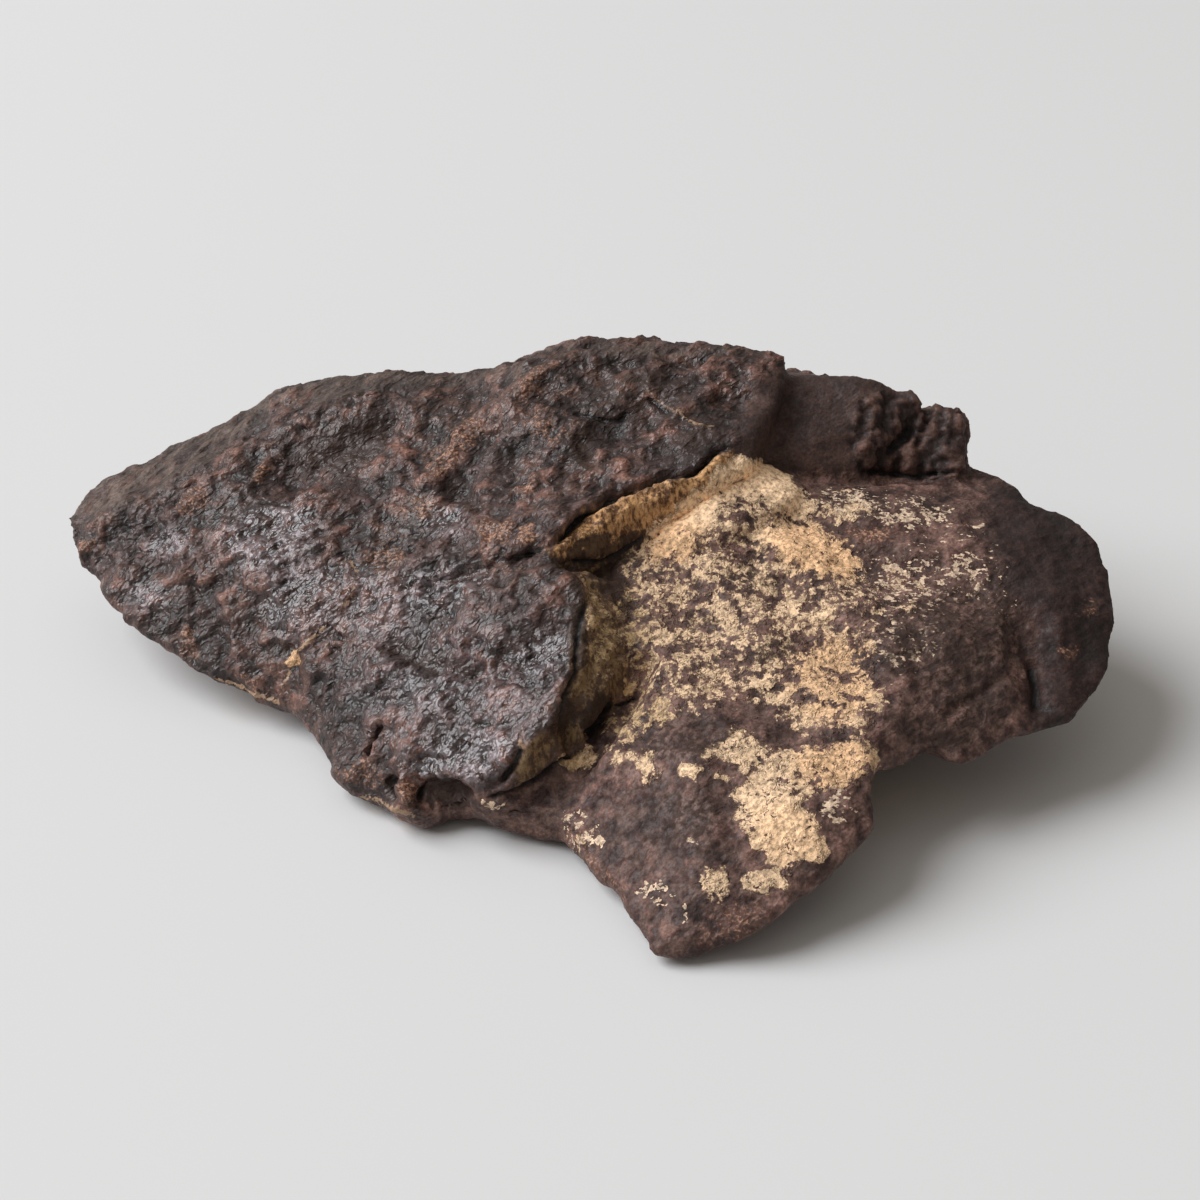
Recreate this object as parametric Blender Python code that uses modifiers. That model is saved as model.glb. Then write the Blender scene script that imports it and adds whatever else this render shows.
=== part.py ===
"""A stony meteorite: one weathered chondrite find, modelled as a single solid at its real size.

The stone is a pile of broken plates that never came apart. A thick dark slab makes the western
half and ends in a broken step. A lower plate runs out from under it to a front tip and a rounded
east lobe. A thinner back plate stands between the two, with a stub and a ledge beyond its end.

Each plate is the convex hull of its corners. The plates are welded into one skin and worn smooth,
then ridges, grooves, pits and lumps are worked into the skin, and the stone is cut off flat where
it rests. X runs along the stone, Y runs away from its front tip, Z is up, and the surface that the
stone stands on is Z = 0. Corners and sizes are in millimetres until the last step.
"""

import bmesh
import bpy
from mathutils import Vector, noise
from mathutils.geometry import intersect_point_line

STONE_LENGTH = 66.0  # the longest side of the finished stone, west to east
SKIN_GRAIN = 0.32  # spacing of the welded skin's points
FIRST_WEAR = 6  # passes that wear the plates' edges, before the relief is worked in
LAST_WEAR = 2  # passes that wear the relief
WEAR_LOSS = 0.2  # what the wear takes off, put back on with the relief
MOST_TRIANGLES = 8400  # of the finished stone
METRES_PER_MM = 0.001

CRUST_COLOUR = (0.075, 0.050, 0.042, 1.0)
CRUST_ROUGHNESS = 0.55

# The corners of each plate. Neighbours share corners, so that their faces meet in one surface.
PLATES = {
    "root": {
        "resting spot": [(-9, -4, -0.4), (-5, -8, -0.4), (4, -8.5, -0.4), (9, -3, -0.4),
                         (8, 5, -0.4), (1, 9, -0.4), (-7, 6, -0.4)],
        "girdle": [(-14, -7, 1.4), (-9, -9.8, 0.7), (8, -12, 1.0), (14, -6, 2.2), (15, 6, 3.2),
                   (4, 16, 3.6), (-9, 15, 3.4), (-17, 3, 2.6)],
        "flank": [(16, 12, 7), (0, 21, 8), (-12, 20, 8), (-16, 8, 5), (14, -8, 5), (-10, -6, 4)],
    },
    "west wing": {
        "tip": [(-33.6, 12.8, 6.6), (-31.4, 15.5, 8.1)],
        "front rim": [(-32.1, 10.1, 5.5), (-29.5, 6.6, 4.6), (-26.5, 3.2, 3.8),
                      (-23.1, 0.4, 2.8), (-18.9, -1.3, 1.9), (-16.8, -2.1, 1.6)],
        "back edge": [(-28.6, 16.8, 8.3), (-24.6, 18.0, 9.1), (-20.6, 19.0, 10.7),
                      (-16.3, 19.6, 13.5), (-14.5, 18.6, 13.9), (-8.5, 17.6, 15.3),
                      (-4.6, 16.6, 15.5)],
        "crest line": [(-30.4, 10.8, 7.2), (-25.7, 11.1, 9.3), (-21.2, 12.6, 11.0),
                       (-14.9, 14.5, 13.4)],
        "slope": [(-23.2, 4.6, 6.0), (-16.7, 2.7, 7.2), (-10.2, -0.3, 8.9), (-7.4, 5.7, 12.2)],
        "back foot": [(-29, 16.5, 5.8), (-22, 21.5, 7), (-14, 23, 8.5), (-8, 22.5, 7)],
        "underside": [(-20, 12, 3.2), (-11, 2, 0), (-8, 13, 2.4)],
    },
    "shoulder": {
        "seam": [(-16.8, -2.1, 1.6), (-16.7, 2.7, 7.2), (-10.2, -0.3, 8.9), (-7.4, 5.7, 12.2)],
        "broken edge": [(-1.3, -1.4, 13.2), (0.9, -4.1, 11.8), (1.4, -6.0, 11.0),
                        (0.3, -9.4, 9.1), (-0.5, -10.9, 8.1), (-1.5, -12.1, 6.9),
                        (-2.6, -12.7, 6.2), (-3.8, -13.4, 4.2), (-4.7, -13.5, 3.4)],
        "front rim": [(-13.9, -7.6, 2.0), (-13.2, -8.9, 1.2), (-11.4, -10.2, 0.9),
                      (-8.6, -11.7, 0.7), (-5.7, -11.3, 1.0)],
        "inside": [(-2, -11, 0.8), (-12, 1, 1), (0, 0, 4), (1, -8, 5.5)],
    },
    "crest": {
        "skyline": [(-2.3, 16.1, 16.8), (-0.6, 15.6, 17.8), (5.0, 15.3, 18.4),
                    (10.8, 14.5, 18.4), (12.9, 14.0, 18.6), (13.9, 13.0, 18.2)],
        "broken edge": [(13.6, 12.4, 17.0), (10.9, 10.2, 16.9), (10.6, 7.0, 15.9),
                        (10.6, 4.9, 15.6), (7.3, 3.5, 15.2), (4.3, 1.8, 14.4),
                        (1.9, 0.5, 13.8), (-1.3, -1.4, 13.2)],
        "west seam": [(-7.4, 5.7, 12.2), (-4.6, 16.6, 15.5)],
        "wall foot": [(-1.3, -1.8, 8), (4.3, 1.2, 8), (8.2, 3.6, 9), (10.8, 6.5, 9)],
        "back": [(0, 21.5, 14), (7, 21.5, 14.2), (12, 18.5, 13.4), (12, 17, 6),
                 (-5.5, 19.5, 13), (-6, 21, 6), (-8, 4, 6)],
    },
    "sloping wall": {
        "head": [(0.2, -1.6, 12.0), (0.9, -4.1, 10.8), (1.1, -6.1, 10.0), (0.2, -9.4, 8.0)],
        "foot": [(4.4, -1.0, 10.2), (3.8, -4.3, 8.6), (4.4, -7.5, 7.2), (3.0, -9.6, 6.3),
                 (1.4, -11.2, 5.2)],
        "inside": [(0, -4, 5), (-1, -9, 4)],
    },
    "lower recess": {
        "head": [(-0.9, -11.2, 7.0), (-2.8, -12.6, 5.2), (-4.2, -13.1, 2.9)],
        "foot": [(0.8, -11.6, 4.6), (-1.6, -13.0, 2.6), (-4.4, -13.2, 1.4)],
        "inside": [(-4, -10, 0), (0, -9, 2)],
    },
    "front lobe": {
        "wall foot": [(1.9, 0.1, 10.4), (4.3, 0.3, 11.0), (8, 3.2, 12.2), (3.3, -4.3, 8.6)],
        "west rim": [(3.0, -9.4, 6.5), (1.3, -11.3, 5.3), (-0.2, -12.6, 3.4),
                     (-0.5, -14.0, 1.3), (1.9, -17.3, 1.1), (4.0, -21.2, 1.0)],
        "tip": [(4.8, -23.5, 0.9), (6.2, -24.0, 0.7), (9.3, -23.5, 1.6), (11.0, -22.9, 2.5)],
        "east rim": [(14.4, -20.0, 3.7), (16.0, -18.9, 4.2), (17.2, -17.6, 4.6),
                     (17.4, -14.3, 5.8)],
        "deck": [(17.0, -14.4, 7.0), (14.5, -16.5, 6.0), (7.3, -20.8, 3.8), (7.4, -13.8, 6.7),
                 (13.3, -9.4, 7.8), (16, 0, 9.8)],
        "foot": [(1.6, -14, -0.1), (4.8, -20.5, -0.1), (7.2, -21.5, 0.1), (11, -13, 1.2), (12, -4, 0.5)],
    },
    "saddle": {
        "deck": [(3.0, -9.4, 6.5), (1.3, -11.3, 5.3), (-0.2, -12.6, 3.4), (-3.2, -12.9, 1.5)],
        "rim": [(-5.0, -12.2, 1.0), (-3.2, -12.6, 0.8), (-0.5, -14.0, 1.0)],
        "foot": [(2, -9, -0.4), (-4, -9.5, 0), (0, -12, 0.1)],
    },
    "east lobe": {
        "back edge": [(10.8, 6.5, 12.9), (17.4, 6.9, 12.9), (24.7, 8.7, 11.4), (28.5, 7.0, 10.9)],
        "round end": [(30.7, 6.0, 10.7), (32.3, 4.3, 10.1), (33.0, 1.3, 8.9), (33.1, -1.4, 8.1),
                      (32.3, -4.4, 7.0), (31.3, -6.5, 6.0), (29.4, -8.3, 5.4),
                      (27.4, -8.5, 5.7)],
        "deck": [(29.3, -1.4, 9.6), (26.0, 1.5, 10.8), (19.1, -8.2, 8.4), (22.8, -5.5, 9.3),
                 (8, 3.2, 12.2), (6, -4, 8.6), (13.3, -9.4, 7.8), (16.9, -13.4, 6.6)],
        "underside": [(28, 10.5, 7.5), (20, 15, 6.5), (27, 0, 4.5), (18, -7, 2.4),
                      (12, -6, 1.2), (14, 8, 2)],
    },
    "west heel": {
        "deck": [(19.1, -8.2, 8.4), (16.9, -13.4, 6.6), (17.4, -14.0, 6.0), (20.4, -10, 7.4)],
        "rim": [(18.2, -13.2, 5.3), (20.3, -12.3, 5.4)],
        "inside": [(16, -8, 3), (20, -5, 5)],
    },
    "east heel": {
        "deck": [(22.8, -5.5, 9.3), (19.1, -8.2, 8.4), (25.4, -6.2, 8.3)],
        "rim": [(20.9, -12.2, 5.6), (22.4, -12.6, 5.1), (23.8, -11.7, 5.1), (25.6, -9.9, 5.4)],
        "inside": [(19, -6, 4), (24, -5, 5)],
    },
    "back plate": {
        "skyline": [(12, 13, 16.9), (14, 14, 16.8), (17.6, 13.5, 16.8), (19.8, 12.8, 17.0),
                    (21.9, 11.9, 16.5)],
        "face": [(19.4, 11.3, 16.2), (18.9, 10.2, 15), (18, 8.4, 12.9), (11.7, 7.6, 13.5),
                 (18, 8.2, 9), (11.7, 7.4, 9)],
        "back": [(14, 18.5, 14.6), (20, 17, 13.4), (22, 13, 12), (21.7, 11, 11), (12, 18, 6),
                 (20, 15.5, 7)],
    },
    "back stub": {
        "top": [(18, 12, 15.6), (22.3, 11.9, 15.1), (24.2, 12.0, 15.0)],
        "face": [(24.7, 11.3, 14.8), (24.5, 10.6, 13.4), (24.9, 10.1, 12.6), (24.7, 9.2, 12.0),
                 (19, 10.3, 14), (19, 9.2, 11)],
        "back": [(24, 15, 12), (20, 16, 12), (24, 14, 8), (19, 13, 8)],
    },
    "back ledge": {
        "top": [(25, 9.3, 11.4), (28.2, 7.6, 11.0), (28, 9.4, 10.6), (25, 12, 11.6)],
        "foot": [(24, 10, 9), (27, 6, 9)],
    },
}

# Ridges and grooves on the upper side: height (below zero for a groove), half width, line in plan.
RELIEF = {
    "crest ridge": (0.6, 2.2, [(-2.8, 13.6), (-3.8, 12.0), (-6.3, 10.2), (-8.7, 6.5), (-9.8, 4.7)]),
    "west crest line": (0.5, 1.8, [(-31, 10.7), (-26.4, 11.8), (-21.3, 13.1), (-14.9, 15.4)]),
    "valley": (-0.7, 3.0, [(-17.5, 10.5), (-13.8, 10.4), (-11.2, 11.6)]),
    "shoulder crease": (-0.5, 1.2, [(-1.4, -1.5), (-3.6, -1.9), (-6.8, -0.9), (-10.2, 0.0),
                                    (-12.7, 0.3)]),
    "shoulder fold": (-0.5, 1.6, [(-11.2, -2.1), (-8.2, -4.6), (-5.9, -6.6), (-3.3, -7.4),
                                  (-0.8, -6.6)]),
    "crest pit": (-0.7, 2.0, [(1.9, 7.3), (3.8, 7.7), (5.0, 9.4)]),
    "crest notch": (-0.5, 1.5, [(11.2, 9.6), (9.4, 9.8)]),
    "crack at the wall's foot": (-0.8, 1.0, [(0.9, 0.0), (3.6, 0.2), (6.0, 1.4), (8.6, 3.2),
                                             (11.2, 5.8)]),
    "cleft": (-1.6, 1.2, [(1.2, -11.2), (2.4, -9.9), (3.6, -8.4), (4.4, -6.8)]),
    "crack round the recess": (-0.7, 0.8, [(-4.4, -13.3), (-1.8, -13.2), (-0.2, -12.4),
                                           (1.2, -11.2)]),
    "deck ridge": (0.5, 2.2, [(11.5, 2.0), (15.8, -2.0), (18.6, -6.2), (17.8, -11.5)]),
    "deck hollow": (-0.6, 3.0, [(7.2, -4.2), (9.2, -8.0), (13.0, -12.0)]),
    "lobe groove": (-0.8, 2.2, [(26.9, -3.6), (27.1, -6.2), (27.0, -9.0)]),
    "east hollow": (-0.5, 2.6, [(20.5, -1.5), (24.0, -3.0)]),
    "tip ridge": (0.4, 1.6, [(7.2, -13.8), (7.6, -17.8), (7.0, -21.6)]),
    "back plate hollow": (-0.7, 2.6, [(13.4, 9.6), (16.6, 9.9)]),
    "break in the back plate": (-0.5, 1.1, [(20.6, 12.6), (20.8, 11.0), (20.6, 10.0)]),
    "gap before the stub": (-0.5, 1.1, [(22.3, 12.6), (22.6, 11.0), (22.4, 10.2)]),
}

# Pits and bumps on the rims: height (below zero for a pit), radius, middle.
DENTS = {
    "front nook": (-1.5, 1.9, (-6.9, -12.2, 2.2)),
    "slit in the shoulder": (-0.5, 1.0, (-11.6, -7.9, 3.7)),
    "lump in the nook": (0.7, 0.9, (-9.3, -11.2, 1.9)),
    "notch in the heel": (-0.7, 1.5, (20.5, -12.6, 5.4)),
    "notch under the tip": (-0.5, 1.8, (2.9, -19.4, 0.8)),
    "bump on the tip": (0.4, 1.4, (5.2, -23.6, 1.2)),
    "notch in the west rim": (-0.2, 1.6, (-24.8, 1.6, 3.4)),
    "notch by the deck": (-0.3, 1.6, (17.6, -15.0, 5.4)),
}

# Lumps all over the stone, from broad swells to hammered grain: height, width of one lump.
LUMPS = [(0.45, 9.0), (0.38, 4.2), (0.22, 2.0)]


def clear_scene():
    """Removes whatever the file holds when the script starts."""
    for old in list(bpy.data.objects):
        bpy.data.objects.remove(old)


def add_plate(skin, corner_groups):
    """Adds the convex hull of a plate's corners to the skin."""
    plate = bmesh.new()
    for corners in corner_groups.values():
        for corner in corners:
            plate.verts.new(corner)
    bmesh.ops.convex_hull(plate, input=plate.verts)
    inside = [v for v in plate.verts if not v.link_faces]
    bmesh.ops.delete(plate, geom=inside, context="VERTS")
    bmesh.ops.recalc_face_normals(plate, faces=plate.faces)
    mesh = bpy.data.meshes.new("plate")
    plate.to_mesh(mesh)
    plate.free()
    skin.from_mesh(mesh)
    bpy.data.meshes.remove(mesh)


def make_plates(collection):
    """All plates in one object, still overlapping."""
    skin = bmesh.new()
    for corner_groups in PLATES.values():
        add_plate(skin, corner_groups)
    mesh = bpy.data.meshes.new("stone")
    skin.to_mesh(mesh)
    skin.free()
    stone = bpy.data.objects.new("stone", mesh)
    collection.objects.link(stone)
    return stone


def apply_modifiers(stone):
    """Makes what the modifiers do part of the mesh."""
    graph = bpy.context.evaluated_depsgraph_get()
    graph.update()
    old = stone.data
    stone.data = bpy.data.meshes.new_from_object(stone.evaluated_get(graph))
    stone.modifiers.clear()
    bpy.data.meshes.remove(old)
    stone.data.name = "stone"


def weld(stone):
    """Turns the overlapping plates into closed skins."""
    welding = stone.modifiers.new("weld plates", "REMESH")
    welding.mode = "VOXEL"
    welding.voxel_size = SKIN_GRAIN
    apply_modifiers(stone)


def wear(stone, passes):
    """Rounds the skin's edges."""
    rubbing = stone.modifiers.new("wear edges", "SMOOTH")
    rubbing.factor = 0.5
    rubbing.iterations = passes
    apply_modifiers(stone)


def fill_voids(stone):
    """Takes out the small shells that line closed gaps between plates, which fills them."""
    bm = bmesh.new()
    bm.from_mesh(stone.data)
    unseen = set(bm.verts)
    shells = []
    while unseen:
        shell = set()
        edge_of_shell = [unseen.pop()]
        while edge_of_shell:
            v = edge_of_shell.pop()
            shell.add(v)
            neighbours = {e.other_vert(v) for e in v.link_edges} & unseen
            unseen -= neighbours
            edge_of_shell.extend(neighbours)
        shells.append(shell)
    skin = max(shells, key=len)
    linings = [v for shell in shells if shell is not skin for v in shell]
    bmesh.ops.delete(bm, geom=linings, context="VERTS")
    bm.to_mesh(stone.data)
    bm.free()


def fade(distance, reach):
    """One at no distance, falling smoothly to none at the reach."""
    t = min(distance / reach, 1.0)
    return (1 - t * t) ** 2


def distance_in_plan(point, line):
    """How far a point is from a line of corners, seen from above."""
    flat = Vector((point.x, point.y, 0))
    distances = []
    for start, end in zip(line, line[1:]):
        a = Vector((*start, 0))
        b = Vector((*end, 0))
        foot, share = intersect_point_line(flat, a, b)
        if share < 0:
            foot = a
        elif share > 1:
            foot = b
        distances.append((flat - foot).length)
    return min(distances)


def relief_at(point, facing_up):
    """Height of the ridges, grooves, pits and bumps at a point of the skin."""
    height = 0.0
    if facing_up > 0:
        for rise, half_width, line in RELIEF.values():
            height += rise * facing_up * fade(distance_in_plan(point, line), half_width)
    for rise, radius, middle in DENTS.values():
        height += rise * fade((point - Vector(middle)).length, radius)
    return height


def lumps_at(point):
    """Height of the lumps at a point of the skin."""
    return sum(rise * noise.noise(point / width) for rise, width in LUMPS)


def work_the_skin(stone):
    """Moves every point of the skin in or out by the relief and the lumps."""
    bm = bmesh.new()
    bm.from_mesh(stone.data)
    moves = []
    for v in bm.verts:
        facing_up = max(0.0, v.normal.z)
        moves.append(WEAR_LOSS + relief_at(v.co, facing_up) + lumps_at(v.co))
    for v, move in zip(bm.verts, moves):
        v.co += v.normal * move
    bm.to_mesh(stone.data)
    bm.free()


def thin_out(stone):
    """Leaves the triangles that the shape needs and no more."""
    triangles = sum(len(face.vertices) - 2 for face in stone.data.polygons)
    thinner = stone.modifiers.new("thin out", "DECIMATE")
    thinner.ratio = MOST_TRIANGLES / triangles
    thinner.use_collapse_triangulate = True
    apply_modifiers(stone)


def cut_rest(bm):
    """Cuts the stone off flat at Z = 0 and closes the cut."""
    everything = bm.verts[:] + bm.edges[:] + bm.faces[:]
    cut = bmesh.ops.bisect_plane(
        bm, geom=everything, plane_co=(0, 0, 0), plane_no=(0, 0, -1), clear_outer=True
    )
    edges = [e for e in cut["geom_cut"] if isinstance(e, bmesh.types.BMEdge)]
    bmesh.ops.holes_fill(bm, edges=edges, sides=0)
    bmesh.ops.triangulate(bm, faces=[f for f in bm.faces if len(f.verts) > 3])


def centre_and_scale(bm):
    """Puts the middle of the stone's box over the origin and gives the stone its length, in metres."""
    low = Vector([min(v.co[axis] for v in bm.verts) for axis in range(3)])
    high = Vector([max(v.co[axis] for v in bm.verts) for axis in range(3)])
    middle = (low + high) / 2
    bmesh.ops.translate(bm, vec=(-middle.x, -middle.y, 0), verts=bm.verts)
    scale = METRES_PER_MM * STONE_LENGTH / (high.x - low.x)
    bmesh.ops.scale(bm, vec=(scale, scale, scale), verts=bm.verts)


def crust_material():
    """The dark weathered crust."""
    crust = bpy.data.materials.new("weathered crust")
    crust.use_nodes = True
    shader = crust.node_tree.nodes["Principled BSDF"]
    shader.inputs["Base Color"].default_value = CRUST_COLOUR
    shader.inputs["Roughness"].default_value = CRUST_ROUGHNESS
    shader.inputs["Metallic"].default_value = 0.0
    return crust


def main():
    """Builds the stone."""
    clear_scene()
    collection = bpy.data.collections.new("chondrite meteorite")
    bpy.context.scene.collection.children.link(collection)
    stone = make_plates(collection)
    weld(stone)
    fill_voids(stone)
    wear(stone, FIRST_WEAR)
    work_the_skin(stone)
    wear(stone, LAST_WEAR)
    thin_out(stone)
    bm = bmesh.new()
    bm.from_mesh(stone.data)
    cut_rest(bm)
    centre_and_scale(bm)
    bm.to_mesh(stone.data)
    bm.free()
    stone.data.materials.append(crust_material())


main()
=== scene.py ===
"""A flat, broken stony meteorite on a pale floor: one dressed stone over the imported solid."""

import logging
import math
from dataclasses import dataclass, field
from enum import Enum

import bmesh
import bpy
import numpy as np
from mathutils import Matrix, Vector, noise
from mathutils.bvhtree import BVHTree


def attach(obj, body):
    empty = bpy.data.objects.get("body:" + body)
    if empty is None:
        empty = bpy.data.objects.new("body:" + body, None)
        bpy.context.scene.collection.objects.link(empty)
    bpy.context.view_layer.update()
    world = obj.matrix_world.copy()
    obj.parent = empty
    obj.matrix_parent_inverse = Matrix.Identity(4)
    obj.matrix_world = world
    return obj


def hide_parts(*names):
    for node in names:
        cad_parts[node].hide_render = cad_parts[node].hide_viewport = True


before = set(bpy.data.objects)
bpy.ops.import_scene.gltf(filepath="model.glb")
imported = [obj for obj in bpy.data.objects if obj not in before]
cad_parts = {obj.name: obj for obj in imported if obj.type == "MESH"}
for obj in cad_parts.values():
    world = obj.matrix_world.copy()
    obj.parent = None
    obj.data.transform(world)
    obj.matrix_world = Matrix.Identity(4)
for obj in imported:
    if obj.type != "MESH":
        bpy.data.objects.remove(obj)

LOG = logging.getLogger("meteorite")

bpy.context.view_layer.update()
MM = 0.001

Pixel = tuple[float, float]
Span = tuple[float, float]
Colour = tuple[float, float, float]

FOLD_TURN = 42.0  # the direction of the slab's fine folds, in degrees from the stone's length
FOLD_STRETCH = 1.8  # how much longer than wide they are


# The view


@dataclass(frozen=True)
class PhotoView:
    """The camera's place: it looks along +Y and down at the stone.

    Places and the sensor are in millimetres, and the clip distances in metres.
    """

    field_of_view: float = 28.0
    elevation: float = 32.0
    target: tuple[float, float, float] = (1.943, 4.266, 5.994)
    distance: float = 149.84
    picture_size: float = 1200.0
    sensor: float = 36.0
    clip: Span = (0.01, 20.0)

    @property
    def focal(self) -> float:
        """The focal length in pixels of the picture."""
        return self.picture_size / 2 / math.tan(math.radians(self.field_of_view) / 2)

    @property
    def forward(self) -> np.ndarray:
        """The direction in which the camera looks."""
        turn = math.radians(self.elevation)
        return np.array([0.0, math.cos(turn), -math.sin(turn)])

    @property
    def up(self) -> np.ndarray:
        """The picture's upward direction."""
        turn = math.radians(self.elevation)
        return np.array([0.0, math.sin(turn), math.cos(turn)])

    @property
    def eye(self) -> np.ndarray:
        """The point from which the camera looks."""
        return np.array(self.target) - self.forward * self.distance

    def ray(self, pixel: Pixel) -> Vector:
        """Find the direction of the ray through a pixel.

        Args:
            pixel: Across and down, in pixels of the picture.

        Returns:
            The direction, of length one.
        """
        across = (pixel[0] - self.picture_size / 2) / self.focal
        upward = (self.picture_size / 2 - pixel[1]) / self.focal
        way = self.forward + np.array([across, 0.0, 0.0]) + upward * self.up
        return Vector(way).normalized()

    def pixels(self, points: np.ndarray) -> np.ndarray:
        """Find where points show in the picture.

        Args:
            points: Places in millimetres, one row each.

        Returns:
            One row of pixels, across and down, for each point.
        """
        away = points - self.eye
        depth = away @ self.forward
        across = self.picture_size / 2 + away[:, 0] / depth * self.focal
        down = self.picture_size / 2 - (away @ self.up) / depth * self.focal
        return np.stack([across, down], axis=1)

    def place_camera(self) -> bpy.types.Object:
        """Add the camera and make it the scene's own.

        Returns:
            The camera object.
        """
        data = bpy.data.cameras.new("photo_camera")
        data.sensor_width = self.sensor
        data.lens = self.sensor / 2 / math.tan(math.radians(self.field_of_view) / 2)
        data.clip_start, data.clip_end = self.clip
        camera = bpy.data.objects.new("photo_camera", data)
        camera.location = Vector(self.eye) * MM
        camera.rotation_euler = (math.radians(90.0 - self.elevation), 0.0, 0.0)
        bpy.context.scene.collection.objects.link(camera)
        bpy.context.scene.camera = camera
        return camera


@dataclass(frozen=True)
class SoftStudio:
    """The pale floor and the soft light from the left and a little behind. Sizes are in metres."""

    floor_size: float = 4.0
    floor_colour: Colour = (0.740, 0.742, 0.738)
    floor_roughness: float = 0.75
    floor_reflection: float = 0.2
    window_direction: tuple[float, float, float] = (-0.710, 0.060, 0.702)
    window_distance: float = 1.4
    window_size: float = 1.20
    window_power: float = 22.6
    window_colour: Colour = (0.95, 0.965, 1.0)
    room_bright: Colour = (0.42, 0.400, 0.375)
    room_dim: Colour = (0.125, 0.112, 0.100)
    room_direction: tuple[float, float, float] = (-0.62, 0.25, 0.74)
    room_turn: Span = (-0.35, 0.95)

    def lay_floor(self) -> bpy.types.Object:
        """Returns:
            The floor object.
        """
        mesh = bpy.data.meshes.new("floor")
        sheet = bmesh.new()
        bmesh.ops.create_grid(sheet, x_segments=1, y_segments=1, size=self.floor_size / 2)
        sheet.to_mesh(mesh)
        sheet.free()
        floor = bpy.data.objects.new("floor", mesh)
        bpy.context.scene.collection.objects.link(floor)
        material = bpy.data.materials.new("pale floor")
        bench = Bench(material)
        bench.feed("Base Color", self.floor_colour)
        bench.feed("Roughness", self.floor_roughness)
        bench.feed("Specular IOR Level", self.floor_reflection)
        mesh.materials.append(material)
        return floor

    def hang_lights(self) -> None:
        """Add the window light and the even light of the room."""
        data = bpy.data.lights.new("window", "AREA")
        data.shape = "DISK"
        data.size = self.window_size
        data.energy = self.window_power
        data.color = self.window_colour
        window = bpy.data.objects.new("window", data)
        way = Vector(self.window_direction).normalized()
        window.location = way * self.window_distance
        window.rotation_euler = way.to_track_quat("Z", "Y").to_euler()
        bpy.context.scene.collection.objects.link(window)
        self.light_room()

    def light_room(self) -> None:
        """Give the room an even light that is stronger on the window's side."""
        world = bpy.data.worlds.new("room")
        bpy.context.scene.world = world
        world.use_nodes = True
        tree = world.node_tree
        where = tree.nodes.new("ShaderNodeTexCoord")
        toward = tree.nodes.new("ShaderNodeVectorMath")
        toward.operation = "DOT_PRODUCT"
        toward.inputs[1].default_value = Vector(self.room_direction).normalized()
        share = tree.nodes.new("ShaderNodeMapRange")
        share.interpolation_type = "SMOOTHSTEP"
        share.inputs["From Min"].default_value = self.room_turn[0]
        share.inputs["From Max"].default_value = self.room_turn[1]
        tones = tree.nodes.new("ShaderNodeMix")
        tones.data_type = "RGBA"
        tones.inputs[MIX_BELOW].default_value = (*self.room_dim, 1.0)
        tones.inputs[MIX_ABOVE].default_value = (*self.room_bright, 1.0)
        tree.links.new(where.outputs["Generated"], toward.inputs[0])
        tree.links.new(toward.outputs["Value"], share.inputs["Value"])
        tree.links.new(share.outputs["Result"], tones.inputs[MIX_SHARE])
        tree.links.new(tones.outputs[MIX_RESULT], tree.nodes["Background"].inputs["Color"])

    def show_true_colours(self) -> None:
        """Show the scene's colours without a film curve."""
        scene = bpy.context.scene
        scene.view_settings.view_transform = "Standard"
        scene.view_settings.look = "None"


# The node bench


MIX_SHARE, MIX_BELOW, MIX_ABOVE, MIX_RESULT = 0, 6, 7, 2  # the sockets of a Mix node for colours


class Value:
    """A value or colour that runs between a material's nodes. Values are reckoned with like numbers."""

    def __init__(self, bench: "Bench", socket: bpy.types.NodeSocket) -> None:
        """Hold the node output that gives the value.

        Args:
            bench: The bench that the node stands on.
            socket: The node's output.
        """
        self.bench = bench
        self.socket = socket

    def __add__(self, other: "Value | float") -> "Value":
        """Add a value."""
        return self.bench.sums("ADD", self, other)

    def __sub__(self, other: "Value | float") -> "Value":
        """Take a value away."""
        return self.bench.sums("SUBTRACT", self, other)

    def __rsub__(self, other: float) -> "Value":
        """Take the value away from a number."""
        return self.bench.sums("SUBTRACT", other, self)

    def __mul__(self, other: "Value | float") -> "Value":
        """Multiply by a value."""
        return self.bench.sums("MULTIPLY", self, other)

    def __abs__(self) -> "Value":
        """Drop the sign."""
        return self.bench.sums("ABSOLUTE", self)

    def at_most(self, limit: float) -> "Value":
        """Hold the value down to a limit."""
        return self.bench.sums("MINIMUM", self, limit)

    def step(self, low: float, high: float, start: float = 0.0, end: float = 1.0) -> "Value":
        """Turn the value into a soft step.

        Args:
            low: Where the step begins.
            high: Where it ends.
            start: What it gives before it begins.
            end: What it gives after its end.

        Returns:
            The step's value.
        """
        node = self.bench.tree.nodes.new("ShaderNodeMapRange")
        node.interpolation_type = "SMOOTHSTEP"
        self.bench.join(self, node.inputs["Value"])
        node.inputs["From Min"].default_value = low
        node.inputs["From Max"].default_value = high
        node.inputs["To Min"].default_value = start
        node.inputs["To Max"].default_value = end
        return Value(self.bench, node.outputs["Result"])


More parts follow.
